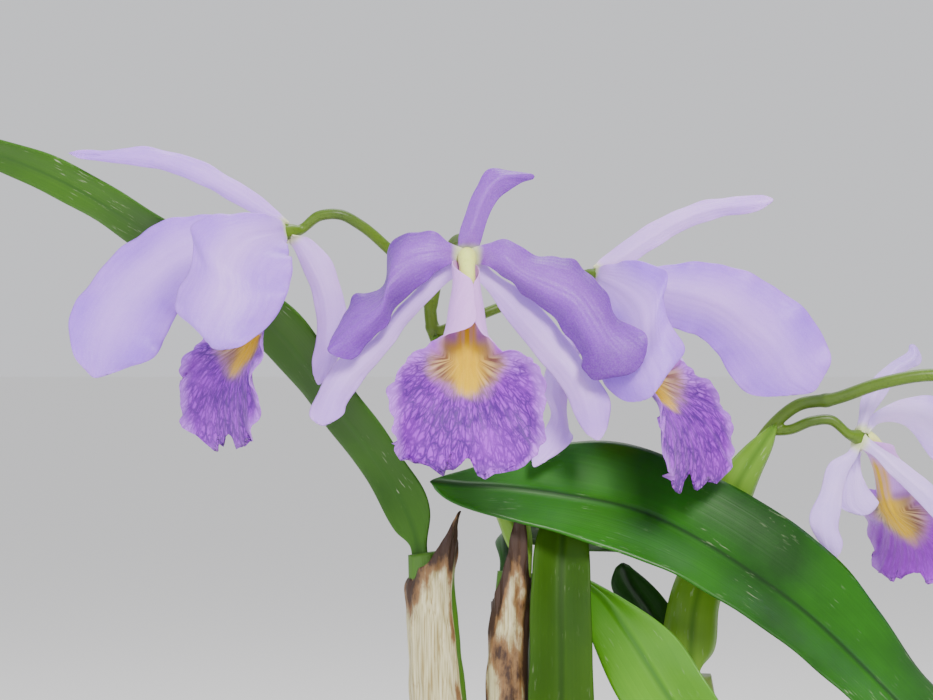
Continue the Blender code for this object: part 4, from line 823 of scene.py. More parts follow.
def lip_surface(bloom, seed):
    """Points of the lip, with their place along (0 to 1), across (-1 to 1) and on the flat lobe."""
    centre, facing, reach, drop, _ = BLOOMS[bloom]
    forward, sideways, upward = bloom_axes(facing)
    midline = lip_midline(reach, drop)
    half_widths, lengths = midline[2], midline[-1]
    fan_from = np.interp(FAN_START, LIP_SAMPLES, lengths)
    along, width = tip_places(LIP_ROWS, LIP_TIP_ROUNDING)
    across = np.linspace(-1, 1, LIP_COLUMNS)[None, :] * np.ones((LIP_ROWS, 1))
    full = across * width[:, None]
    plain_x = full * np.interp(along, LIP_SAMPLES, half_widths)[:, None]
    plain_y = (np.interp(along, LIP_SAMPLES, lengths) - fan_from)[:, None]
    plain_angle = np.arctan2(plain_x, np.maximum(plain_y, 4.0) + 0 * plain_x)
    plain_radius = np.hypot(plain_x, plain_y)
    # Scallops and the notch move points along and across the sheet before it is curled.
    lobe = rising(along[:, None], LOBE_FROM, 5)
    tip = rising(along[:, None], TIP_FROM, 7)
    scallop = ray_noise(plain_angle, 0 * plain_radius, SCALLOPS, seed + 0.5, cusped=True) * lobe
    notch = NOTCH_DEPTH * np.exp(-(full / NOTCH_WIDTH)**2) * rising(along[:, None], NOTCH_FROM, 4)
    place = along[:, None] * (1 - notch + (0.5 * scallop - 0.06) * tip)
    full = full * (1 + (scallop - 0.055 * lobe) * np.abs(across)**4)
    ahead, up, half, curl, head_x, head_z, length = (
        np.interp(place, LIP_SAMPLES, column) for column in midline)
    # Each side curls on an arc, and one side of the tube closes a little over the other.
    curl = np.radians(curl)
    closed = rising(place, TUBE_TO, -10)
    radius = half / curl * (1 + TUBE_OVERLAP * full * closed)
    angle = full * curl * (1 + 1.6 * TUBE_OVERLAP * full * closed)
    rise = SHOULDER_RISE * np.exp(-((place - SHOULDER_PLACE) / 0.075)**2) * full**2
    inward = -head_z[..., None] * forward + head_x[..., None] * upward
    grid = (np.array(centre) + ahead[..., None] * forward + (up + rise)[..., None] * upward
            + (radius * np.sin(angle))[..., None] * sideways
            + (radius * (1 - np.cos(angle)))[..., None] * inward)
    # The frill, the raised keel with a ridge on each side, and the veins push the curled sheet.
    edge = np.maximum(np.abs(across)**3.2 * (1 - 0.8 * tip), 0.14 * tip**2)
    frill = ray_noise(plain_angle, plain_radius, FRILLS, seed) * 2 * lobe * edge
    flat_x, fan_y = full * half, length - fan_from
    fan_angle = np.arctan2(flat_x, np.maximum(fan_y, 4.0))
    ridges = np.exp(-(flat_x / 1.0)**2) + 0.6 * np.exp(-((np.abs(flat_x) - 2.8) / 0.8)**2)
    throat = rising(place, THROAT_FROM, 8) * rising(place, THROAT_TO, -8)
    push = frill + KEEL_HEIGHT * ridges * throat + VEIN_HEIGHT * np.cos(VEIN_COUNT * fan_angle) * lobe
    fan = np.stack([fan_angle, np.hypot(flat_x, fan_y) * MM, place], axis=-1)
    flat = np.stack([flat_x * MM, length * MM, np.abs(full)], axis=-1)
    return pushed(grid, push), fan, flat, full, place


print("lip rows and columns:", LIP_ROWS, LIP_COLUMNS)

# %% [markdown]
# A lip is painted from its throat outward: a yellow keel with maroon rays beside it, a cream fan,
# then lilac crossed by a net of violet veins that fork toward a pale margin. The veins come from a
# cell pattern laid in fan coordinates, angle and distance from the throat, so the cells stretch
# along the rays as real veins do. Every zone is a mask that eases between two limits, so they are
# listed in one table, and the recipe after it only lays colour on colour.

# %% Lip tissue
LIP_GROUND, LIP_FLUSH, LIP_PALE, LIP_TUBE = "#A628DC", "#8A04C0", "#BC74EA", "#D89CF0"
LIP_VIOLET, LIP_CREAM, LIP_YELLOW, LIP_MAROON = "#420074", "#D6B668", "#E0B600", "#561630"
KEEL_STREAK = 2.9 * MM
# Each mask: what it reads, the two limits that it eases between, and its value at each.
LIP_MASKS = {
    "in_lobe": ("place", 0.45, 0.56, 0.0, 1.0), "tube": ("place", 0.4, 0.52, 1.0, 0.0),
    "patchy": ("clouds", 0.3, 0.6, 0.25, 1.0), "inner": ("edge", 0.72, 0.97, 1.0, 0.12),
    "flush_from": ("radius", 9 * MM, 20 * MM, 0.0, 1.0),
    "flush_to": ("radius", 30 * MM, 42 * MM, 1.0, 0.25),
    "shoulder": ("place", 0.54, 0.7, 1.0, 0.0), "shoulder_side": ("edge", 0.4, 0.8, 0.0, 0.75),
    "side_rim": ("edge", 0.8, 1.0, 0.0, 0.8), "tip_rim": ("place", 0.9, 0.985, 0.0, 0.6),
    "fine_from": ("radius", 12 * MM, 24 * MM, 0.25, 0.85),
    "net_side": ("edge", 0.8, 1.0, 1.0, 0.4), "net_patchy": ("clouds", 0.25, 0.6, 0.5, 1.0),
    "in_fan": ("place", 0.35, 0.43, 0.0, 1.0), "wedge": ("turned", 1.05, 1.4, 1.0, 0.0),
    "cream": ("ragged", 8 * MM, 18 * MM, 0.95, 0.0),
    "ray_reach": ("ragged", 10 * MM, 16 * MM, 0.85, 0.0),
    "ray_side": ("turned", 0.1, 0.3, 0.25, 1.0), "ray_from": ("place", 0.45, 0.5, 0.0, 1.0),
    "throat_side": ("beside", 1.0 * MM, 3.4 * MM, 0.1, 0.5),
    "throat_wall": ("beside", 8 * MM, 12 * MM, 1.0, 0.0),
    "throat_from": ("place", 0.3, 0.36, 0.0, 1.0), "throat_to": ("place", 0.44, 0.55, 1.0, 0.0),
    "keel_side": ("beside", 1.6 * MM, 5.0 * MM, 1.0, 0.0),
    "keel_reach": ("ragged", 10 * MM, 17 * MM, 1.0, 0.0), "streaked": ("streaks", -0.7, 0.5, 0.7, 1.0),
    "halo_side": ("beside", 2.5 * MM, 9 * MM, 0.8, 0.0),
    "halo_reach": ("ragged", 8 * MM, 15 * MM, 1.0, 0.0),
}


def ray_lines(tree, fan, pitch, length, wander, width):
    """Forking lines that radiate from the throat, pitch radians apart and length metres long."""
    stops = [(0.03, 1.0), (width, 0.0)]
    return vein_lines(tree, fan, (1 / pitch, 1 / length, 0), 1.7, wander, 0.9, stops)


def lip_sources(tree, fan, clouds):
    """What the masks read: distances from the throat and the keel, angles and shares."""
    angle, radius, place = add(tree, "SeparateXYZ", fan)
    _, flat_x, _, edge = blade_place(tree)
    turned = add(tree, "Math", angle, operation="ABSOLUTE")
    beside = add(tree, "Math", flat_x, operation="ABSOLUTE")
    ragged = add(tree, "Math", clouds, -9 * MM, radius, operation="MULTIPLY_ADD")
    ragged = add(tree, "Math", turned, 2.5 * MM, ragged, operation="MULTIPLY_ADD")
    turns = add(tree, "Math", beside, 2 * math.pi / KEEL_STREAK, operation="MULTIPLY")
    streaks = add(tree, "Math", turns, operation="COSINE")
    return {"radius": radius, "place": place, "edge": edge, "turned": turned, "beside": beside,
            "clouds": clouds, "ragged": ragged, "streaks": streaks}


def lip_tissue(name, net_strength, flush_strength):
    made, tree = new_material(name)
    fan = add(tree, "Attribute", attribute_name="fan")
    coords = add(tree, "TexCoord")
    source = lip_sources(tree, fan, add(tree, "TexNoise", coords, 90.0, 5.0))
    mask = {key: add(tree, "MapRange", source[read], *limits, **SMOOTH)
            for key, (read, *limits) in LIP_MASKS.items()}
    # Lilac with a deeper flush over the middle of the lobe, and a pale margin.
    flush = overlap(tree, mask["flush_from"], mask["flush_to"], mask["inner"], mask["patchy"],
                    flush_strength)
    ground = add(tree, "Mix", flush, LIP_GROUND, LIP_FLUSH)
    ground = add(tree, "Mix", mask["tube"], ground, LIP_TUBE)
    shoulder = overlap(tree, mask["shoulder"], mask["shoulder_side"])
    rim = add(tree, "Math", mask["side_rim"], mask["tip_rim"], operation="MAXIMUM")
    margin = add(tree, "Math", shoulder, rim, operation="MAXIMUM")
    ground = add(tree, "Mix", overlap(tree, margin, mask["in_lobe"]), ground, LIP_PALE)
    # Main veins, and finer ones between them from where the main ones have spread apart.
    main = ray_lines(tree, fan, 0.066, 7.5 * MM, 0.3, 0.15)
    fine = overlap(tree, ray_lines(tree, fan, 0.04, 4 * MM, 0.3, 0.16), mask["fine_from"])
    lines = add(tree, "Math", main, fine, operation="MAXIMUM")
    grown = add(tree, "MapRange", source["place"], 0.46, 0.58, 0.08, net_strength, **SMOOTH)
    net = overlap(tree, lines, grown, mask["net_side"], mask["net_patchy"])
    veined = add(tree, "Mix", net, ground, LIP_VIOLET)
    # Cream fan in front of the throat, maroon rays and sides, and the yellow keel in three streaks.
    cream = overlap(tree, mask["cream"], mask["wedge"], mask["in_fan"])
    creamed = add(tree, "Mix", cream, veined, LIP_CREAM)
    rays = overlap(tree, ray_lines(tree, fan, 0.12, 30 * MM, 0.12, 0.24), mask["ray_reach"],
                   mask["ray_side"], mask["ray_from"], mask["wedge"])
    rayed = add(tree, "Mix", rays, creamed, LIP_MAROON)
    throat = overlap(tree, *(mask[f"throat_{part}"] for part in ("side", "wall", "from", "to")))
    walled = add(tree, "Mix", throat, rayed, LIP_MAROON)
    halo = overlap(tree, mask["halo_side"], mask["halo_reach"], mask["in_fan"])
    haloed = add(tree, "Mix", halo, walled, LIP_YELLOW)
    keel = overlap(tree, mask["keel_side"], mask["keel_reach"], mask["streaked"])
    grain = add(tree, "TexNoise", coords, 1 / CELL_SIZE, 2.0)
    height = add(tree, "Math", lines, -0.7, grain, operation="MULTIPLY_ADD")
    finish(tree, {
        "Base Color": add(tree, "Mix", keel, haloed, LIP_YELLOW),
        "Normal": add(tree, "Bump", height, 0.45, 0.3 * MM), "Roughness": 0.45,
        "Specular IOR Level": 0.3, "Subsurface Weight": 0.1, "Subsurface Radius": (1.0, 0.6, 0.9),
        "Subsurface Scale": 0.8 * MM, "Sheen Weight": 0.1})
    return made


LIP_TISSUE = lip_tissue("lip_tissue", 0.9, 0.6)
PALE_LIP_TISSUE = lip_tissue("pale_lip_tissue", 0.3, 0.15)
print("masks in a lip tissue:", len(LIP_MASKS))

# %% [markdown]
# The far bloom has opened last and is the palest, so its lip takes the weaker net.

# %% Lips
LIP_THICKNESS = 0.5
LIP_SEED = 40
for number, bloom in enumerate(BLOOMS):
    grid, fan, flat, across, place = lip_surface(bloom, LIP_SEED + number)
    thick = margin_thickness(across, place, LIP_THICKNESS, MARGIN_SHARE)
    tissue = PALE_LIP_TISSUE if bloom == "bloom_far" else LIP_TISSUE
    piece = sheet_object(f"{bloom}_lip_frilled", grid, thick, tissue, {"fan": fan, "flat": flat})
    place_on(piece, f"{bloom}_lip")
print("lips:", len(BLOOMS))

# %% [markdown]
# Tubes make the column, the stems and the pseudobulbs. A curve with a bevel would do for an even
# stem, but a pseudobulb swells and is furrowed, so each tube is a stack of rings that are carried
# along a smooth path without twisting.

# %% Tubes
def tube_grid(path, radii, ends, sides, ripple=None):
    """Rings round a path. ripple(turns, along) scales the radius for furrows and rings."""
    tangents = np.gradient(path, axis=0)
    tangents[0], tangents[-1] = ends
    tangents /= np.linalg.norm(tangents, axis=1, keepdims=True)
    start = np.array([0.0, 1.0, 0.0]) if abs(tangents[0][1]) < 0.9 else np.array([1.0, 0.0, 0.0])
    side = unit(np.cross(tangents[0], start))
    turns = np.arange(sides) * 2 * math.pi / sides
    rings = []
    for number, (point, tangent, radius) in enumerate(zip(path, tangents, radii)):
        side = unit(side - tangent * np.dot(side, tangent))
        other = np.cross(tangent, side)
        reach = radius * (ripple(turns, number / (len(path) - 1)) if ripple else np.ones(sides))
        circle = np.outer(np.cos(turns), side) + np.outer(np.sin(turns), other)
        rings.append(point + reach[:, None] * circle)
    return np.array(rings)


def tube_rings(path, radii, sides, steps, ripple=None, round_ends=0.0):
    """Rings along a smooth path. round_ends is how many rings each end takes to round off."""
    path = np.asarray(path, float)
    radii = np.broadcast_to(np.asarray(radii, float), (len(path),))
    smooth = smooth_curve(np.column_stack([path, radii]), np.linspace(0, len(path) - 1, steps))
    ends = (path[1] - path[0], path[-1] - path[-2])
    if round_ends:
        reach = np.minimum(np.arange(steps), np.arange(steps)[::-1]) / round_ends
        smooth[:, 3] *= np.sqrt(np.clip(1 - (1 - np.clip(reach + 0.25, 0, 1))**2, 0.05, 1))
    return tube_grid(smooth[:, :3], smooth[:, 3], ends, sides, ripple)


def ring_mesh(rings):
    """Points and faces of a stack of rings, with a flat cap on each end."""
    count, sides = rings.shape[:2]
    faces = []
    for i in range(count - 1):
        for j in range(sides):
            a, b = i * sides + j, i * sides + (j + 1) % sides
            faces.append((a, b, b + sides, a + sides))
    faces.append(tuple(range(sides - 1, -1, -1)))
    faces.append(tuple((count - 1) * sides + j for j in range(sides)))
    return rings.reshape(-1, 3), faces


def tube_object(name, rings, material):
    """A tube whose points remember the turn round it, the metres along it and along from 0 to 1."""
    points, faces = ring_mesh(rings)
    count, sides = rings.shape[:2]
    run = run_length(rings.mean(axis=1)) * MM
    parts = (np.arange(sides) / sides, run[:, None], np.linspace(0, 1, count)[:, None])
    flat = np.stack([np.broadcast_to(part, (count, sides)) for part in parts], axis=-1)
    return add_object(name, points, faces, material, {"flat": flat})


print("points of a plain tube with 8 sides:",
      ring_mesh(tube_rings([(0, 0, 0), (0, 0, 9)], 2.0, 8, 5))[0].shape)

# %% [markdown]
# Green stems are smooth and waxy: a thin coat over soft green, with fine darker streaks along them
# and a paler, yellower green where the light has bleached them.

# %% Stem tissue
def stem_tissue(name, green, yellow, streak):
    made, tree = new_material(name)
    coords = add(tree, "TexCoord")
    clouds = add(tree, "TexNoise", coords, 30.0, 5.0)
    ground = add(tree, "ValToRGB", clouds, stops=[(0.3, green), (0.72, yellow)])
    specks = add(tree, "TexNoise", coords, 900.0, 3.0)
    marks = add(tree, "MapRange", specks, 0.58, 0.7, 0.0, 0.35)
    finish(tree, {
        "Base Color": add(tree, "Mix", marks, ground, streak),
        "Normal": add(tree, "Bump", specks, 0.25, 0.15 * MM), "Roughness": 0.42, "IOR": 1.42,
        "Subsurface Weight": 0.15, "Subsurface Radius": (0.6, 1.0, 0.3), "Subsurface Scale": 1.0 * MM,
        "Coat Weight": 0.08, "Coat Roughness": 0.3})
    return made


COLUMN_TISSUE = stem_tissue("column_tissue", "#DCEA6C", "#EEF2A0", "#BCD050")
STEM_TISSUE = stem_tissue("waxy_stem", "#3A540A", "#5C7C0E", "#2A4206")
BUD_TISSUE = stem_tissue("young_bud", "#7F9448", "#A6A77E", "#5F7030")
print("stem tissues: column, stem, bud")

# %% [markdown]
# The column holds the pollen. It is a stout club that leans over the throat and ends in a small
# rounded cap, so its tube is rounded off at the end instead of cut flat.

# %% Columns
COLUMN_SIDES, COLUMN_STEPS = 32, 40
# Points of the column: mm ahead of the flower's middle and mm up. Then its radius at each.
COLUMN_CLUB = [(1.0, 1.5), (4.5, -0.5), (8.0, -3.5), (11.0, -8.0), (13.5, -14.0)]
COLUMN_CLUB_RADII = [3.0, 3.1, 2.7, 2.8, 2.2]
for bloom, (centre, facing, reach, drop, _) in BLOOMS.items():
    forward, _, upward = bloom_axes(facing)
    start = COLUMN_CLUB[0][0]
    path = [np.array(centre) + (start + (ahead - start) * reach) * forward + up * drop * upward
            for ahead, up in COLUMN_CLUB]
    rings = tube_rings(path, COLUMN_CLUB_RADII, COLUMN_SIDES, COLUMN_STEPS, round_ends=6.0)
    place_on(tube_object(f"{bloom}_column_club", rings, COLUMN_TISSUE), f"{bloom}_column")
print("columns:", len(BLOOMS))

# %% [markdown]
# Pedicels leave the flower stem in soft forks. Joining tubes with a Boolean leaves a hard crease;
# a voxel remesh of tubes that run into each other closes them into one skin instead, and a little
# smoothing rounds the forks. The rhizome with its roots is made in the same way.

# %% Grown-together tubes
ROOT_DEPTH = 1.2


def bake(made):
    """Keep the shape that an object's modifiers give it, and drop the modifiers."""
    bpy.context.view_layer.update()
    shaped = made.evaluated_get(bpy.context.evaluated_depsgraph_get())
    skin = bpy.data.meshes.new_from_object(shaped)
    made.modifiers.clear()
    made.data = skin


def grown_together(name, parts, voxel_mm, material):
    """One closed skin over tubes that run into each other."""
    points, faces = [], []
    for rings in parts:
        part_points, part_faces = ring_mesh(rings)
        start = sum(len(p) for p in points)
        points.append(part_points)
        faces += [tuple(start + i for i in face) for face in part_faces]
    made = add_object(name, np.concatenate(points), faces, material)
    remesh = made.modifiers.new("skin", "REMESH")
    remesh.mode = "VOXEL"
    remesh.voxel_size = voxel_mm * MM
    smooth = made.modifiers.new("smooth", "SMOOTH")
    smooth.factor = 0.5
    smooth.iterations = 2
    bake(made)
    made.data.shade_smooth()
    if not made.data.materials:
        made.data.materials.append(material)
    return made


def seat_row(bulb, offset, across, spread):
    """Points across a blade's root, just inside the top of its pseudobulb, and the way up."""
    path = PSEUDOBULBS[bulb][0]
    top, upward = np.array(path[-1], float), unit(np.subtract(path[-1], path[-2]))
    to_right = unit(np.cross((0, 1, 0), upward))
    to_back = np.cross(upward, to_right)
    across = unit(across - upward * np.dot(across, upward))
    middle = top - upward * ROOT_DEPTH + to_right * offset[0] + to_back * offset[1]
    return [middle + across * s for s in spread], upward


print("leaf roots lie", ROOT_DEPTH, "mm deep in", len(PSEUDOBULBS), "pseudobulbs")

# %% [markdown]
# The stem of a cattleya's flowers is stiff and round, with a slight ring wherever a bract once
# grew. Each pedicel swells toward its bloom and has six shallow ribs there: that part will become
# the seed pod. It ends in the knob that carries the petals. The unopened bud is ribbed too.

# %% Flower stems
STEM_SIDES = 20
STEM_VOXEL = 0.46
PEDUNCLE_RADIUS, PEDICEL_RADIUS, KNOB_RADIUS = 2.3, 1.9, 2.6
KNOB_HALF, KNOB_LEAD, STEM_STALK = 2.5, 6.0, 5.0
JOINT_RINGS = (0.33, 0.62, 0.86)


def jointed(turns, along):
    """A slight ring where a bract once grew."""
    swell = sum(math.exp(-((along - ring) / 0.012)**2) for ring in JOINT_RINGS)
    return np.ones(len(turns)) * (1 + 0.16 * swell)


def ribbed(turns, along):
    """Six shallow ribs, as on the part of a pedicel that will become the pod."""
    return 1 + 0.05 * np.cos(6 * turns) * along


def pedicel_rings(bloom, pedicel):
    centre, facing = BLOOMS[bloom][:2]
    centre, forward = np.array(centre), unit(facing)
    back = centre - KNOB_LEAD * forward
    path = list(pedicel) + [back, centre - KNOB_HALF * forward, centre + KNOB_HALF * forward]
    radii = [PEDICEL_RADIUS] * (len(pedicel) + 1) + [KNOB_RADIUS] * 2
    return tube_rings(path, radii, STEM_SIDES, 12 * len(path), ripple=ribbed, round_ends=3.0)


for node, (bulb, offset, route, pedicels) in FLOWER_STEMS.items():
    foot, upward = seat_row(bulb, offset, np.array([1.0, 0.0, 0.0]), [0.0])
    route = [foot[0], foot[0] + upward * STEM_STALK] + route
    parts = [tube_rings(route, PEDUNCLE_RADIUS, STEM_SIDES, 14 * len(route), ripple=jointed)]
    parts += [pedicel_rings(bloom, pedicel) for bloom, pedicel in pedicels.items()]
    piece = place_on(grown_together(f"{node}_skin", parts, STEM_VOXEL, STEM_TISSUE), node)
    print(node, "faces:", len(piece.data.polygons))

rings = tube_rings(BUD_PATH, BUD_RADII, 32, 60, ripple=ribbed, round_ends=5.0)
place_on(tube_object("flower_bud_skin", rings, BUD_TISSUE), "flower_bud")

# %% [markdown]
# Cattleya leaves are thick straps with a hard, glossy cuticle. The real gloss is a clear wax layer
# over dull green flesh, which is what a coat on the shader does. Fine veins run from end to end;
# old scratches and dried water leave pale marks.

# %% Leaf material
LEAF_VEIN_SPACING = 0.9 * MM
# Patterns across and along the blade, in repeats to a metre: veins, and scratches that run askew.
LEAF_VEIN_SCALE = (1 / LEAF_VEIN_SPACING, 9.0, 0)
SCRATCH_SCALE, SCRATCH_TURN = (900.0, 160.0, 0), (0, 0, 0.6)


def leaf_skin(name, deep, bright, rib, gloss, marks, coat, shine=0.5):
    """Waxed green with lengthwise veins, a midrib, and pale scratches as strong as marks."""
    made, tree = new_material(name)
    place, across, _, _ = blade_place(tree)
    coords = add(tree, "TexCoord")
    clouds = add(tree, "TexNoise", coords, 18.0, 5.0)
    ground = add(tree, "ValToRGB", clouds, stops=[(0.32, deep), (0.68, bright)])
    veins = add(tree, "TexNoise", add(tree, "Mapping", place, LEAF_VEIN_SCALE), 1.0, 2.0)
    vein_tone = add(tree, "MapRange", veins, 0.35, 0.65, 0.0, 0.22)
    veined = add(tree, "Mix", vein_tone, ground, deep)
    side = add(tree, "Math", across, operation="ABSOLUTE")
    midrib = add(tree, "MapRange", side, 0.2 * MM, 1.6 * MM, 0.8, 0.0)
    with_rib = add(tree, "Mix", midrib, veined, rib)
    scratched = add(tree, "Mapping", place, SCRATCH_SCALE, SCRATCH_TURN)
    scratches = add(tree, "TexNoise", scratched, 1.0, 4.0)
    where = add(tree, "TexNoise", coords, 60.0, 2.0)
    patches = add(tree, "MapRange", where, 0.52, 0.68, 0.0, marks)
    lines = add(tree, "MapRange", scratches, 0.6, 0.72, 0.0, 1.0)
    worn = overlap(tree, patches, lines)
    height = add(tree, "Math", worn, 0.6, veins, operation="MULTIPLY_ADD")
    finish(tree, {
        "Base Color": add(tree, "Mix", worn, with_rib, "#C9D2B0"),
        "Roughness": add(tree, "MapRange", clouds, 0.3, 0.7, gloss, gloss + 0.12),
        "Normal": add(tree, "Bump", height, 0.3, 0.2 * MM), "IOR": 1.45,
        "Specular IOR Level": shine, "Coat Weight": coat, "Coat Roughness": 0.16,
        "Subsurface Weight": 0.06, "Subsurface Radius": (0.4, 1.0, 0.2), "Subsurface Scale": 1.5 * MM})
    return made


# Each skin: deep and bright green, midrib, roughness, strength of the marks, wax coat and shine.
LEAF_TOP = leaf_skin("leaf_cuticle", "#0E3C01", "#267002", "#082A01", 0.32, 0.35, 0.1, 0.3)
LEAF_UNDER = leaf_skin("leaf_underside", "#264E08", "#3E6E0E", "#2A560A", 0.5, 0.6, 0.04, 0.25)
LEAF_OLIVE = leaf_skin("olive_leaf", "#244404", "#365A08", "#1E3C04", 0.5, 0.22, 0.0, 0.2)
LEAF_FRESH = leaf_skin("fresh_leaf", "#3A7404", "#56920A", "#2E6404", 0.42, 0.25, 0.1, 0.35)
# Painted shade: the back leaves e and f wear this darker copy of the leaf skin.
SHADED_LEAF_SKIN = leaf_skin("shaded_leaf", "#143A08", "#225812", "#0C2804", 0.32, 0.5, 0.3)
LEAF_SKINS = {"leaf_a": LEAF_UNDER, "leaf_b": LEAF_TOP, "leaf_c": LEAF_OLIVE, "leaf_d": LEAF_FRESH,
              "leaf_e": SHADED_LEAF_SKIN, "leaf_f": SHADED_LEAF_SKIN}
print("leaf skins:", len(set(LEAF_SKINS.values())), "for", len(LEAF_SKINS), "leaves")

# %% [markdown]
# Every leaf grows from the top of its pseudobulb and is folded there, then opens flat. The net
# gives its course and fold. The groove over the midrib and a slow warp are pushed in afterwards.

# %% Leaves
LEAF_THICKNESS = 1.7
LEAF_STALK = 3.0
LEAF_ROWS, LEAF_COLUMNS = 130, 33
LEAF_TIP_ROUNDING = 0.05
# The groove over the midrib in mm; leaf A shows its smooth underside.
LEAF_GROOVE, LEAF_GROOVES, LEAF_GROOVE_HALF = 0.5, {"leaf_a": 0.1}, 1.3
# Height and size of the slow warp and of the margin's waves, in mm, and the seeds of both.
LEAF_WARP, LEAF_WAVES = (0.7, 35.0), (0.35, 48.0)
LEAF_WARP_SEED, LEAF_WAVE_SEED = 60, 70
LEAF_MARGIN_SHARE = 0.35
for number, (node, (bulb, offset, root_half, net)) in enumerate(LEAVES.items()):
    across_root = np.subtract(net[0][-1], net[0][0])
    root, upward = seat_row(bulb, offset, across_root, np.linspace(-root_half, root_half, 3))
    net = [root, [point + upward * LEAF_STALK for point in root]] + net
    grid, along, across = smooth_sheet(net, LEAF_ROWS, LEAF_COLUMNS, LEAF_TIP_ROUNDING)
    attributes, across_mm, along_mm = blade_attributes(grid, along, across)
    push = groove(across_mm, LEAF_GROOVES.get(node, LEAF_GROOVE), LEAF_GROOVE_HALF)
    push = push + undulation(grid, *LEAF_WARP, LEAF_WARP_SEED + number)
    push = push + waves(across, along_mm, *LEAF_WAVES, LEAF_WAVE_SEED + number)
    grid = pushed(grid, push * rising(along, 0, 6))
    thick = margin_thickness(across, along, LEAF_THICKNESS, LEAF_MARGIN_SHARE)
    place_on(sheet_object(f"{node}_strap", grid, thick, LEAF_SKINS[node], attributes), node)
print("leaves:", len(LEAVES))

# %% [markdown]
# A spathe is the flat green sheath that the flower stem pushed through. It stays folded round the
# back of the stem like a closed book, so each row of its net is a shallow U.

# %% Spathes
SPATHE_THICKNESS = 0.7
SPATHE_STALK = 2.5
SPATHE_ROOT_HALF = 3.0
SPATHE_ROWS, SPATHE_COLUMNS = 70, 33
SPATHE_TIP_ROUNDING = 0.04
# Height and number of the vein ridges, and height and size of the slow warp with its seed.
SPATHE_VEINS, SPATHE_WARP, SPATHE_SEED = (0.06, 17), (0.4, 18.0), 80
# A row of the fold: how far to the right and to the back, as shares of half width and depth.
SPATHE_FOLD = [(-1.0, 1.0), (-0.8, 0.1), (0.0, -0.3), (0.8, 0.1), (1.0, 1.0)]
SPATHE_SKIN = leaf_skin("spathe_skin", "#54800E", "#7CA63A", "#426C0C", 0.46, 0.3, 0.05, 0.3)
for number, (node, (bulb, offset, stations)) in enumerate(SPATHES.items()):
    net = [[(x + half_width * right, y + depth * back, z) for right, back in SPATHE_FOLD]
           for x, y, z, half_width, depth in stations]
    spread = np.linspace(-SPATHE_ROOT_HALF, SPATHE_ROOT_HALF, len(SPATHE_FOLD))
    root, upward = seat_row(bulb, offset, np.array([1.0, 0.0, 0.0]), spread)
    net = [root, [point + upward * SPATHE_STALK for point in root]] + net
    grid, along, across = smooth_sheet(net, SPATHE_ROWS, SPATHE_COLUMNS, SPATHE_TIP_ROUNDING)
    attributes, _, _ = blade_attributes(grid, along, across)
    push = vein_relief(across, along, *SPATHE_VEINS)
    push = push + undulation(grid, *SPATHE_WARP, SPATHE_SEED + number)
    grid = pushed(grid, push * rising(along, 0, 6))
    place_on(sheet_object(f"{node}_sheath", grid, SPATHE_THICKNESS, SPATHE_SKIN, attributes),
             node)
print("spathes:", len(SPATHES))

# %% [markdown]
# Pseudobulbs are swollen stems that store water. Young ones are green and lightly furrowed. Old
# ones wear the dry bases of fallen leaves: a cream papery sheath with fibres that run lengthwise,
# stained brown by water and torn at the top.

# %% Pseudobulb materials
FIBRE_SPACING = 0.6 * MM
FIBRE_SCALE = (1 / FIBRE_SPACING, 1 / FIBRE_SPACING, 40.0)
BLOT_SCALE = (120.0, 120.0, 50.0)


def dry_sheath(name, stain_from, green_from):
    """Cream paper with brown stains, browner for a low stain_from, and green above green_from."""
    made, tree = new_material(name)
    _, turn, _, along = blade_place(tree)
    coords = add(tree, "TexCoord")
    fibres = add(tree, "TexNoise", add(tree, "Mapping", coords, FIBRE_SCALE), 1.0, 4.0)
    paper = add(tree, "ValToRGB", fibres, stops=[(0.3, "#8C7A48"), (0.5, "#B8B084"), (0.75, "#D6D0AC")])
    blots = add(tree, "TexNoise", add(tree, "Mapping", coords, BLOT_SCALE), 1.0, 7.0, 0.62)
    # Water gathers along the seam and at the torn top, so the stains are heaviest there.
    seam = overlap(tree, add(tree, "MapRange", turn, 0.34, 0.385, 0.0, 0.2, **SMOOTH),
                   add(tree, "MapRange", turn, 0.39, 0.42, 1.0, 0.0, **SMOOTH))
    torn = add(tree, "MapRange", along, 0.78, 0.99, 0.0, 0.34, **SMOOTH)
    wet = add(tree, "Math", blots, seam, operation="ADD")
    wet = add(tree, "Math", wet, torn, operation="ADD")
    brown = add(tree, "MapRange", wet, stain_from, stain_from + 0.13, 0.0, 0.88, **SMOOTH)
    dark = add(tree, "MapRange", wet, stain_from + 0.12, stain_from + 0.24, 0.0, 0.92, **SMOOTH)
    stained = add(tree, "Mix", brown, paper, "#6E451C")
    stained = add(tree, "Mix", dark, stained, "#2A140A")
    # Where the sheath's two sides part, a strip of the green stem shows.
    gap = overlap(tree, add(tree, "MapRange", turn, 0.405, 0.415, 0.0, 1.0, **SMOOTH),
                  add(tree, "MapRange", turn, 0.53, 0.54, 1.0, 0.0, **SMOOTH),
                  add(tree, "MapRange", along, 0.8, 0.9, 1.0, 0.0, **SMOOTH))
    leaf_foot = add(tree, "MapRange", along, green_from, green_from + 0.01, 0.0, 1.0, **SMOOTH)
    shown = add(tree, "Math", gap, leaf_foot, operation="MAXIMUM")
    height = add(tree, "Math", blots, 1.2, fibres, operation="MULTIPLY_ADD")
    finish(tree, {
        "Base Color": add(tree, "Mix", shown, stained, "#3E6A0C"),
        "Normal": add(tree, "Bump", height, 0.5, 0.35 * MM), "Roughness": 0.55, "IOR": 1.45})
    return made


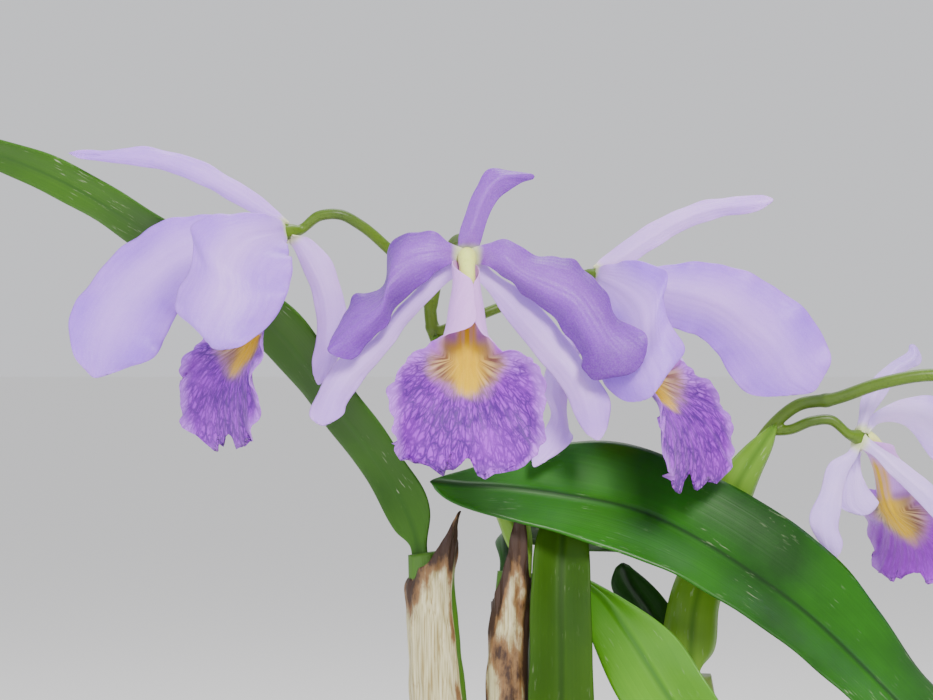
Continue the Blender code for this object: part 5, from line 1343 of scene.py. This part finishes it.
# How early each sheathed pseudobulb browns. Its swelling ends in the green foot of the leaf, and
# the torn top above has none.
SHEATH_STAINS = {"pseudobulb_1": 0.58, "pseudobulb_2": 0.38}
LEAF_FOOT, NO_LEAF_FOOT = 0.93, 2.0
SWELLING_PAPER = {node: dry_sheath(f"{node}_sheath_paper", stain, LEAF_FOOT)
                  for node, stain in SHEATH_STAINS.items()}
TORN_PAPER = {node: dry_sheath(f"{node}_torn_paper", stain, NO_LEAF_FOOT)
              for node, stain in SHEATH_STAINS.items()}
BULB_SKIN = stem_tissue("pseudobulb_skin", "#4F6A28", "#768A3C", "#8A8A58")
RHIZOME_BARK = stem_tissue("rhizome_skin", "#5A4A2A", "#75683C", "#2E2414")
print("sheathed pseudobulbs:", ", ".join(SHEATH_STAINS))

# %% [markdown]
# A green pseudobulb that has given water shrinks into soft lengthwise furrows. Paper drawn over
# one follows them more faintly, and finer. Raised rings stay where leaves once sat.

# %% Pseudobulbs
BULB_SIDES, BULB_STEPS = 60, 100
LEAF_RINGS = (0.3, 0.55, 0.78)
# Number of furrows and their depth as a share of the radius.
PAPER_FURROWS, GREEN_FURROWS = (11, 0.012), (7, 0.03)


def furrows(count, depth, seed):
    """Lengthwise furrows with a few raised rings where leaves once sat."""
    phases = np.random.default_rng(seed).uniform(0, 2 * math.pi, 3)

    def ripple(turns, along):
        wave = np.cos(count * turns + phases[0])
        wave = wave + 0.5 * np.cos((2 * count + 1) * turns + phases[1] + 3 * along)
        swell = sum(math.exp(-((along - ring) / 0.01)**2) for ring in LEAF_RINGS)
        return 1 + depth * wave * min(1.0, 4 * along) + 0.035 * swell

    return ripple


for number, (node, (path, radii)) in enumerate(PSEUDOBULBS.items()):
    sheathed = node in SHEATH_STAINS
    ripple = furrows(*(PAPER_FURROWS if sheathed else GREEN_FURROWS), number)
    rings = tube_rings(path, radii, BULB_SIDES, BULB_STEPS, ripple=ripple)
    piece = tube_object(f"{node}_swelling", rings, SWELLING_PAPER.get(node, BULB_SKIN))
    place_on(piece, node)
print("pseudobulbs:", len(PSEUDOBULBS))

# %% [markdown]
# The top of a dry sheath is torn: one side stands up beside the leaf as a brown tongue, the other
# has shrunk down. It is a sheet wrapped round the pseudobulb, whose upper edge is low on one side
# and high on the other, and whose axis leans and narrows as the tongue dries.

# %% Torn sheath tops
WRAP_ROWS, WRAP_COLUMNS = 104, 88
WRAP_HALF_TURN = 165
WRAP_THICKNESS = 0.35
WRAP_SEED = 90.5
# For each sheath: points of its axis with the radius there, the height of its shrunk edge, how
# far the tongue rises above that, and the tongue's direction and half width in degrees, where 0
# faces the viewer and 90 is to the right.
SHEATH_TOPS = {
    "pseudobulb_1": (
        [(4, 25, 138, 9.0), (-5, 25, 165, 10.6), (-10, 25, 200, 9.6), (-12, 25, 228, 8.6),
         (-12.4, 25, 238, 8.0), (-10.2, 24, 248, 6.4), (-7.0, 23, 258, 4.4), (-4.5, 22.5, 266, 2.6)],
        239, 26, 58, 72),
    "pseudobulb_2": (
        [(24, 28, 145, 8.1), (16, 28, 185, 8.6), (15, 28, 215, 7.5), (16.2, 28.4, 230, 7.1),
         (16.6, 28, 240, 7.4), (17.2, 26.5, 250, 6.6), (17.8, 26.5, 264, 6.8)],
        232, 34, 10, 44),
}


def wrapped_sheath(axis, low, tongue, toward, spread, seed):
    """Grid of a sheet wrapped round its axis, and its places as on a tube."""
    turns = np.radians(np.linspace(-WRAP_HALF_TURN, WRAP_HALF_TURN, WRAP_COLUMNS))
    top = low + tongue * np.exp(-((np.degrees(turns) - toward) / spread)**2)
    top += 3.0 * np.array([noise.noise(Vector((2.2 * turn, seed, 0))) for turn in turns])
    along = np.linspace(0, 1, WRAP_ROWS)[:, None]
    foot = axis[0][2]
    heights = foot + along * (top - foot)[None, :]
    samples = smooth_curve(axis, np.linspace(0, len(axis) - 1, 200))
    x, y, radius = (np.interp(heights, samples[:, 2], samples[:, k]) for k in (0, 1, 3))
    # Thirteen fine pleats, and a crumple that grows where the paper is driest, at its edge.
    every_turn = np.broadcast_to(turns, heights.shape)
    crumple = [noise.noise(Vector((3.0 * turn, z / 9.0, seed)))
               for turn, z in zip(every_turn.ravel(), heights.ravel())]
    reach = radius + (0.4 + 1.8 * along**6) * np.array(crumple).reshape(heights.shape)
    reach = reach + 0.12 * np.cos(13 * turns)[None, :]
    grid = np.stack([x + reach * np.sin(turns), y - reach * np.cos(turns), heights], axis=-1)
    along = np.broadcast_to(along, heights.shape)
    return grid, np.stack([every_turn / (2 * math.pi) + 0.25, (heights - foot) * MM, along], axis=-1)


for number, (node, form) in enumerate(SHEATH_TOPS.items()):
    grid, flat = wrapped_sheath(*form, WRAP_SEED + number)
    piece = sheet_object(f"{node}_torn_top", grid, WRAP_THICKNESS, TORN_PAPER[node], {"flat": flat})
    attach(piece, "root")
print("torn sheath tops:", len(SHEATH_TOPS))

# %% [markdown]
# Under the pseudobulbs creeps the rhizome. It lies on the bark and sends roots over and into it.

# %% Rhizome and roots
RHIZOME_RADIUS, BRANCH_RADIUS, ROOT_RADIUS = 5.0, 4.6, 1.6
RHIZOME_SIDES, ROOT_SIDES = 28, 14
RHIZOME_VOXEL = 0.6
SOCKET_FOOT, SOCKET_TOP, SOCKET_RIM = 103.5, 112.0, 0.3
SCALE_COUNT, SCALE_HEIGHT = 14, 0.05


def scaly(turns, along):
    """Close rings left by the rhizome's scales."""
    return np.ones(len(turns)) * (1 + SCALE_HEIGHT * math.cos(2 * math.pi * SCALE_COUNT * along))


parts = [tube_rings(RHIZOME_PATH, RHIZOME_RADIUS, RHIZOME_SIDES, 120, ripple=scaly, round_ends=4.0),
         tube_rings(RHIZOME_BRANCH, BRANCH_RADIUS, RHIZOME_SIDES, 40, ripple=scaly)]
for path, radii in PSEUDOBULBS.values():
    socket = [(*path[0][:2], SOCKET_FOOT), (*path[0][:2], SOCKET_TOP)]
    parts.append(tube_rings(socket, radii[0] + SOCKET_RIM, RHIZOME_SIDES, 6))
for route in ROOTS:
    parts.append(tube_rings(route, ROOT_RADIUS, ROOT_SIDES, 50, round_ends=3.0))
rhizome = grown_together("rhizome_and_roots", parts, RHIZOME_VOXEL, RHIZOME_BARK)
place_on(rhizome, "rhizome")
print("rhizome faces:", len(rhizome.data.polygons))

# %% [markdown]
# Orchid compost is chipped pine bark. A displaced plane would look like gravel, because chips are
# flat, angular and lie across each other. So the filling is a bed with a rough top, and on it lie
# some hundred separate chips, each its own broken block. The bed fits the pot with a hair's gap.

# %% Bark
BARK_CHIP_COUNT = 330
BARK_CHIP_SEED = 7
BARK_TOP, BARK_GAP = 98.0, 0.3
BED_SIDES, BED_WALL_STEPS = 96, 6
CHIP_SIDES = 10
# Ranges for a chip: its size in mm, width and depth as shares of that, and mm above the bed.
CHIP_SIZES, CHIP_WIDTHS, CHIP_DEPTHS, CHIP_HEIGHTS = (8.0, 17.0), (0.45, 0.8), (0.16, 0.34), (-1, 1.6)
CHIP_TILT, CHIP_BREAKS = 0.22, 0.07
POT_HEIGHT, POT_FOOT_RADIUS, POT_WALL, POT_FLOOR = 112.0, 66.0, 3.0, 4.0
POT_RIM_RADIUS, POT_RIM_DEPTH, POT_RIM_STEP = 86.0, 14.0, 4.0


def pine_bark(name):
    """Red brown layers, with paler patches and a gritty break."""
    made, tree = new_material(name)
    coords = add(tree, "TexCoord")
    layers = add(tree, "TexNoise", coords, 160.0, 7.0, 0.65)
    grit = add(tree, "TexVoronoi", coords, 420.0)
    height = add(tree, "Math", grit, 0.4, layers, operation="MULTIPLY_ADD")
    stops = [(0.3, "#2A170D"), (0.5, "#5A3520"), (0.62, "#7C4E2E"), (0.8, "#A47A52")]
    finish(tree, {
        "Base Color": add(tree, "ValToRGB", layers, stops=stops),
        "Normal": add(tree, "Bump", height, 0.7, 0.9 * MM), "Roughness": 0.85})
    return made


def pot_radius(z):
    return POT_FOOT_RADIUS + (POT_RIM_RADIUS - POT_RIM_STEP - POT_FOOT_RADIUS) * z / POT_HEIGHT


def lathe(profile, sides):
    turns = np.arange(sides) * 2 * math.pi / sides
    return np.array([[(r * math.cos(a), r * math.sin(a), z) for a in turns] for r, z in profile])


def broken_block(rng, size):
    """Points and faces of one chip: a flat block with broken corners."""
    width, depth = size * rng.uniform(*CHIP_WIDTHS), size * rng.uniform(*CHIP_DEPTHS)
    turns = np.arange(CHIP_SIDES) * 2 * math.pi / CHIP_SIDES
    boxy = np.maximum(np.abs(np.cos(turns)), np.abs(np.sin(turns)))
    rings = []
    for x in np.linspace(-1, 1, 4):
        taper = 1 - 0.35 * abs(x)**3
        ring = np.stack([np.full(CHIP_SIDES, x * size / 2), np.cos(turns) / boxy * width / 2 * taper,
                         np.sin(turns) / boxy * depth / 2 * taper], axis=-1)
        rings.append(ring + rng.uniform(-CHIP_BREAKS, CHIP_BREAKS, (CHIP_SIDES, 3)) * size)
    return ring_mesh(np.array(rings))


def laid_chip(rng, bed_radius):
    """One chip, turned and tilted a little, somewhere on the bed."""
    size = rng.uniform(*CHIP_SIZES)
    distance = (bed_radius - size * 0.55) * math.sqrt(rng.random())
    angle = rng.uniform(0, 2 * math.pi)
    points, faces = broken_block(rng, size)
    tilt = rng.normal(0, CHIP_TILT, 2)
    turn = rng.uniform(0, 2 * math.pi)
    leaning = Vector((tilt[0], tilt[1], 1)).normalized()
    lean = np.array(Vector((0, 0, 1)).rotation_difference(leaning).to_matrix())
    cos, sin = math.cos(turn), math.sin(turn)
    spin = np.array([[cos, -sin, 0], [sin, cos, 0], [0, 0, 1]])
    height = BARK_TOP - 0.5 + rng.uniform(*CHIP_HEIGHTS)
    place = (distance * math.cos(angle), distance * math.sin(angle), height)
    return points @ spin.T @ lean.T + place, faces


PINE_BARK = pine_bark("pine_bark")
heights = np.linspace(POT_FLOOR + BARK_GAP, BARK_TOP, BED_WALL_STEPS)
bed_profile = [(pot_radius(z) - POT_WALL - BARK_GAP, z) for z in heights]
bed_radius = bed_profile[-1][0]
bed_profile += [(bed_radius * share, BARK_TOP) for share in np.linspace(1, 0.01, 40)[1:]]
bed = lathe(bed_profile, BED_SIDES)
for ring in bed[BED_WALL_STEPS:]:
    for point in ring:
        point[2] -= 1.2 + 1.2 * noise.noise(Vector(point) / 6.0)
bed_points, bed_faces = ring_mesh(bed)
place_on(add_object("bark_bed", bed_points - PLANT_TO_POT, bed_faces, PINE_BARK), "bark")

rng = np.random.default_rng(BARK_CHIP_SEED)
chip_points, chip_faces, start = [], [], 0
for _ in range(BARK_CHIP_COUNT):
    points, faces = laid_chip(rng, bed_radius)
    chip_points.append(points)
    chip_faces += [tuple(start + i for i in face) for face in faces]
    start += len(points)
chips = add_object("bark_chips", np.concatenate(chip_points) - PLANT_TO_POT, chip_faces, PINE_BARK)
chips.data.shade_flat()
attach(chips, "root")
print("bark chips:", BARK_CHIP_COUNT)

# %% [markdown]
# The pot is fired clay, turned on a wheel: matt, warm, faintly ringed, and dusted with pale lime
# where water dries near the rim. Its wall is a lathed profile, and the drain holes are bored after.

# %% Pot
POT_SIDES = 160
DRAIN_HOLES, DRAIN_HOLE_RADIUS, DRAIN_HOLE_RING, DRAIN_HOLE_SIDES = 4, 5.0, 34.0, 32


def fired_clay(name):
    """Matt clay with turning marks, and lime that shows more toward the rim."""
    made, tree = new_material(name)
    coords = add(tree, "TexCoord")
    clouds = add(tree, "TexNoise", coords, 22.0, 6.0)
    ground = add(tree, "ValToRGB", clouds, stops=[(0.3, "#A4593A"), (0.7, "#BF7450")])
    high = add(tree, "MapRange", add(tree, "SeparateXYZ", coords)[2], 0.05, 0.11, 0.1, 0.55)
    lime = add(tree, "TexNoise", coords, 48.0, 8.0, 0.7)
    dusty = overlap(tree, high, add(tree, "MapRange", lime, 0.5, 0.68, 0.0, 1.0))
    turned = add(tree, "TexNoise", add(tree, "Mapping", coords, (4, 4, 700)), 1.0, 2.0)
    grit = add(tree, "TexNoise", coords, 1200.0, 3.0)
    height = add(tree, "Math", turned, 1.5, grit, operation="MULTIPLY_ADD")
    finish(tree, {
        "Base Color": add(tree, "Mix", dusty, ground, "#D8B9A2"),
        "Normal": add(tree, "Bump", height, 0.35, 0.3 * MM), "Roughness": 0.82})
    return made


FIRED_CLAY = fired_clay("fired_clay")
rim_foot = POT_HEIGHT - POT_RIM_DEPTH
inner_top = pot_radius(POT_HEIGHT) - POT_WALL
# Radius and height, from the middle of the foot up the outside, over the rim and down the inside.
profile = [
    (0.4, 0.0), (DRAIN_HOLE_RING, 0.0), (pot_radius(0) - 1.5, 0.0), (pot_radius(0) - 0.5, 0.4),
    (pot_radius(1.5), 1.5), *((pot_radius(z), z) for z in np.linspace(4, rim_foot - 0.5, 8)),
    (pot_radius(rim_foot) + 0.6, rim_foot), (POT_RIM_RADIUS - 1.6, rim_foot + 0.5),
    (POT_RIM_RADIUS - 0.5, rim_foot + 1.4), (POT_RIM_RADIUS, POT_HEIGHT - 3.0),
    (POT_RIM_RADIUS - 0.4, POT_HEIGHT - 1.0), (POT_RIM_RADIUS - 1.5, POT_HEIGHT),
    (inner_top + 0.8, POT_HEIGHT), (inner_top, POT_HEIGHT - 0.8), (pot_radius(60) - POT_WALL, 60.0),
    (pot_radius(POT_FLOOR) - POT_WALL, POT_FLOOR), (DRAIN_HOLE_RING, POT_FLOOR), (0.4, POT_FLOOR)]
pot_points, pot_faces = ring_mesh(lathe(profile, POT_SIDES))
pot = add_object("pot_body", pot_points - PLANT_TO_POT, pot_faces, FIRED_CLAY)
drill = [(DRAIN_HOLE_RADIUS, -2.0), (DRAIN_HOLE_RADIUS, POT_FLOOR + 2.0)]
drill_points, drill_faces = ring_mesh(lathe(drill, DRAIN_HOLE_SIDES))
for k in range(DRAIN_HOLES):
    angle = (k + 0.5) * 2 * math.pi / DRAIN_HOLES
    place = (DRAIN_HOLE_RING * math.cos(angle), DRAIN_HOLE_RING * math.sin(angle), 0)
    hole = add_object("drain_hole", drill_points + place - PLANT_TO_POT, drill_faces, FIRED_CLAY)
    cut = pot.modifiers.new("drain", "BOOLEAN")
    cut.operation = "DIFFERENCE"
    cut.object = hole
    cut.solver = "EXACT"
    bake(pot)
    bpy.data.objects.remove(hole, do_unlink=True)
place_on(pot, "pot")
print("pot faces:", len(pot.data.polygons))
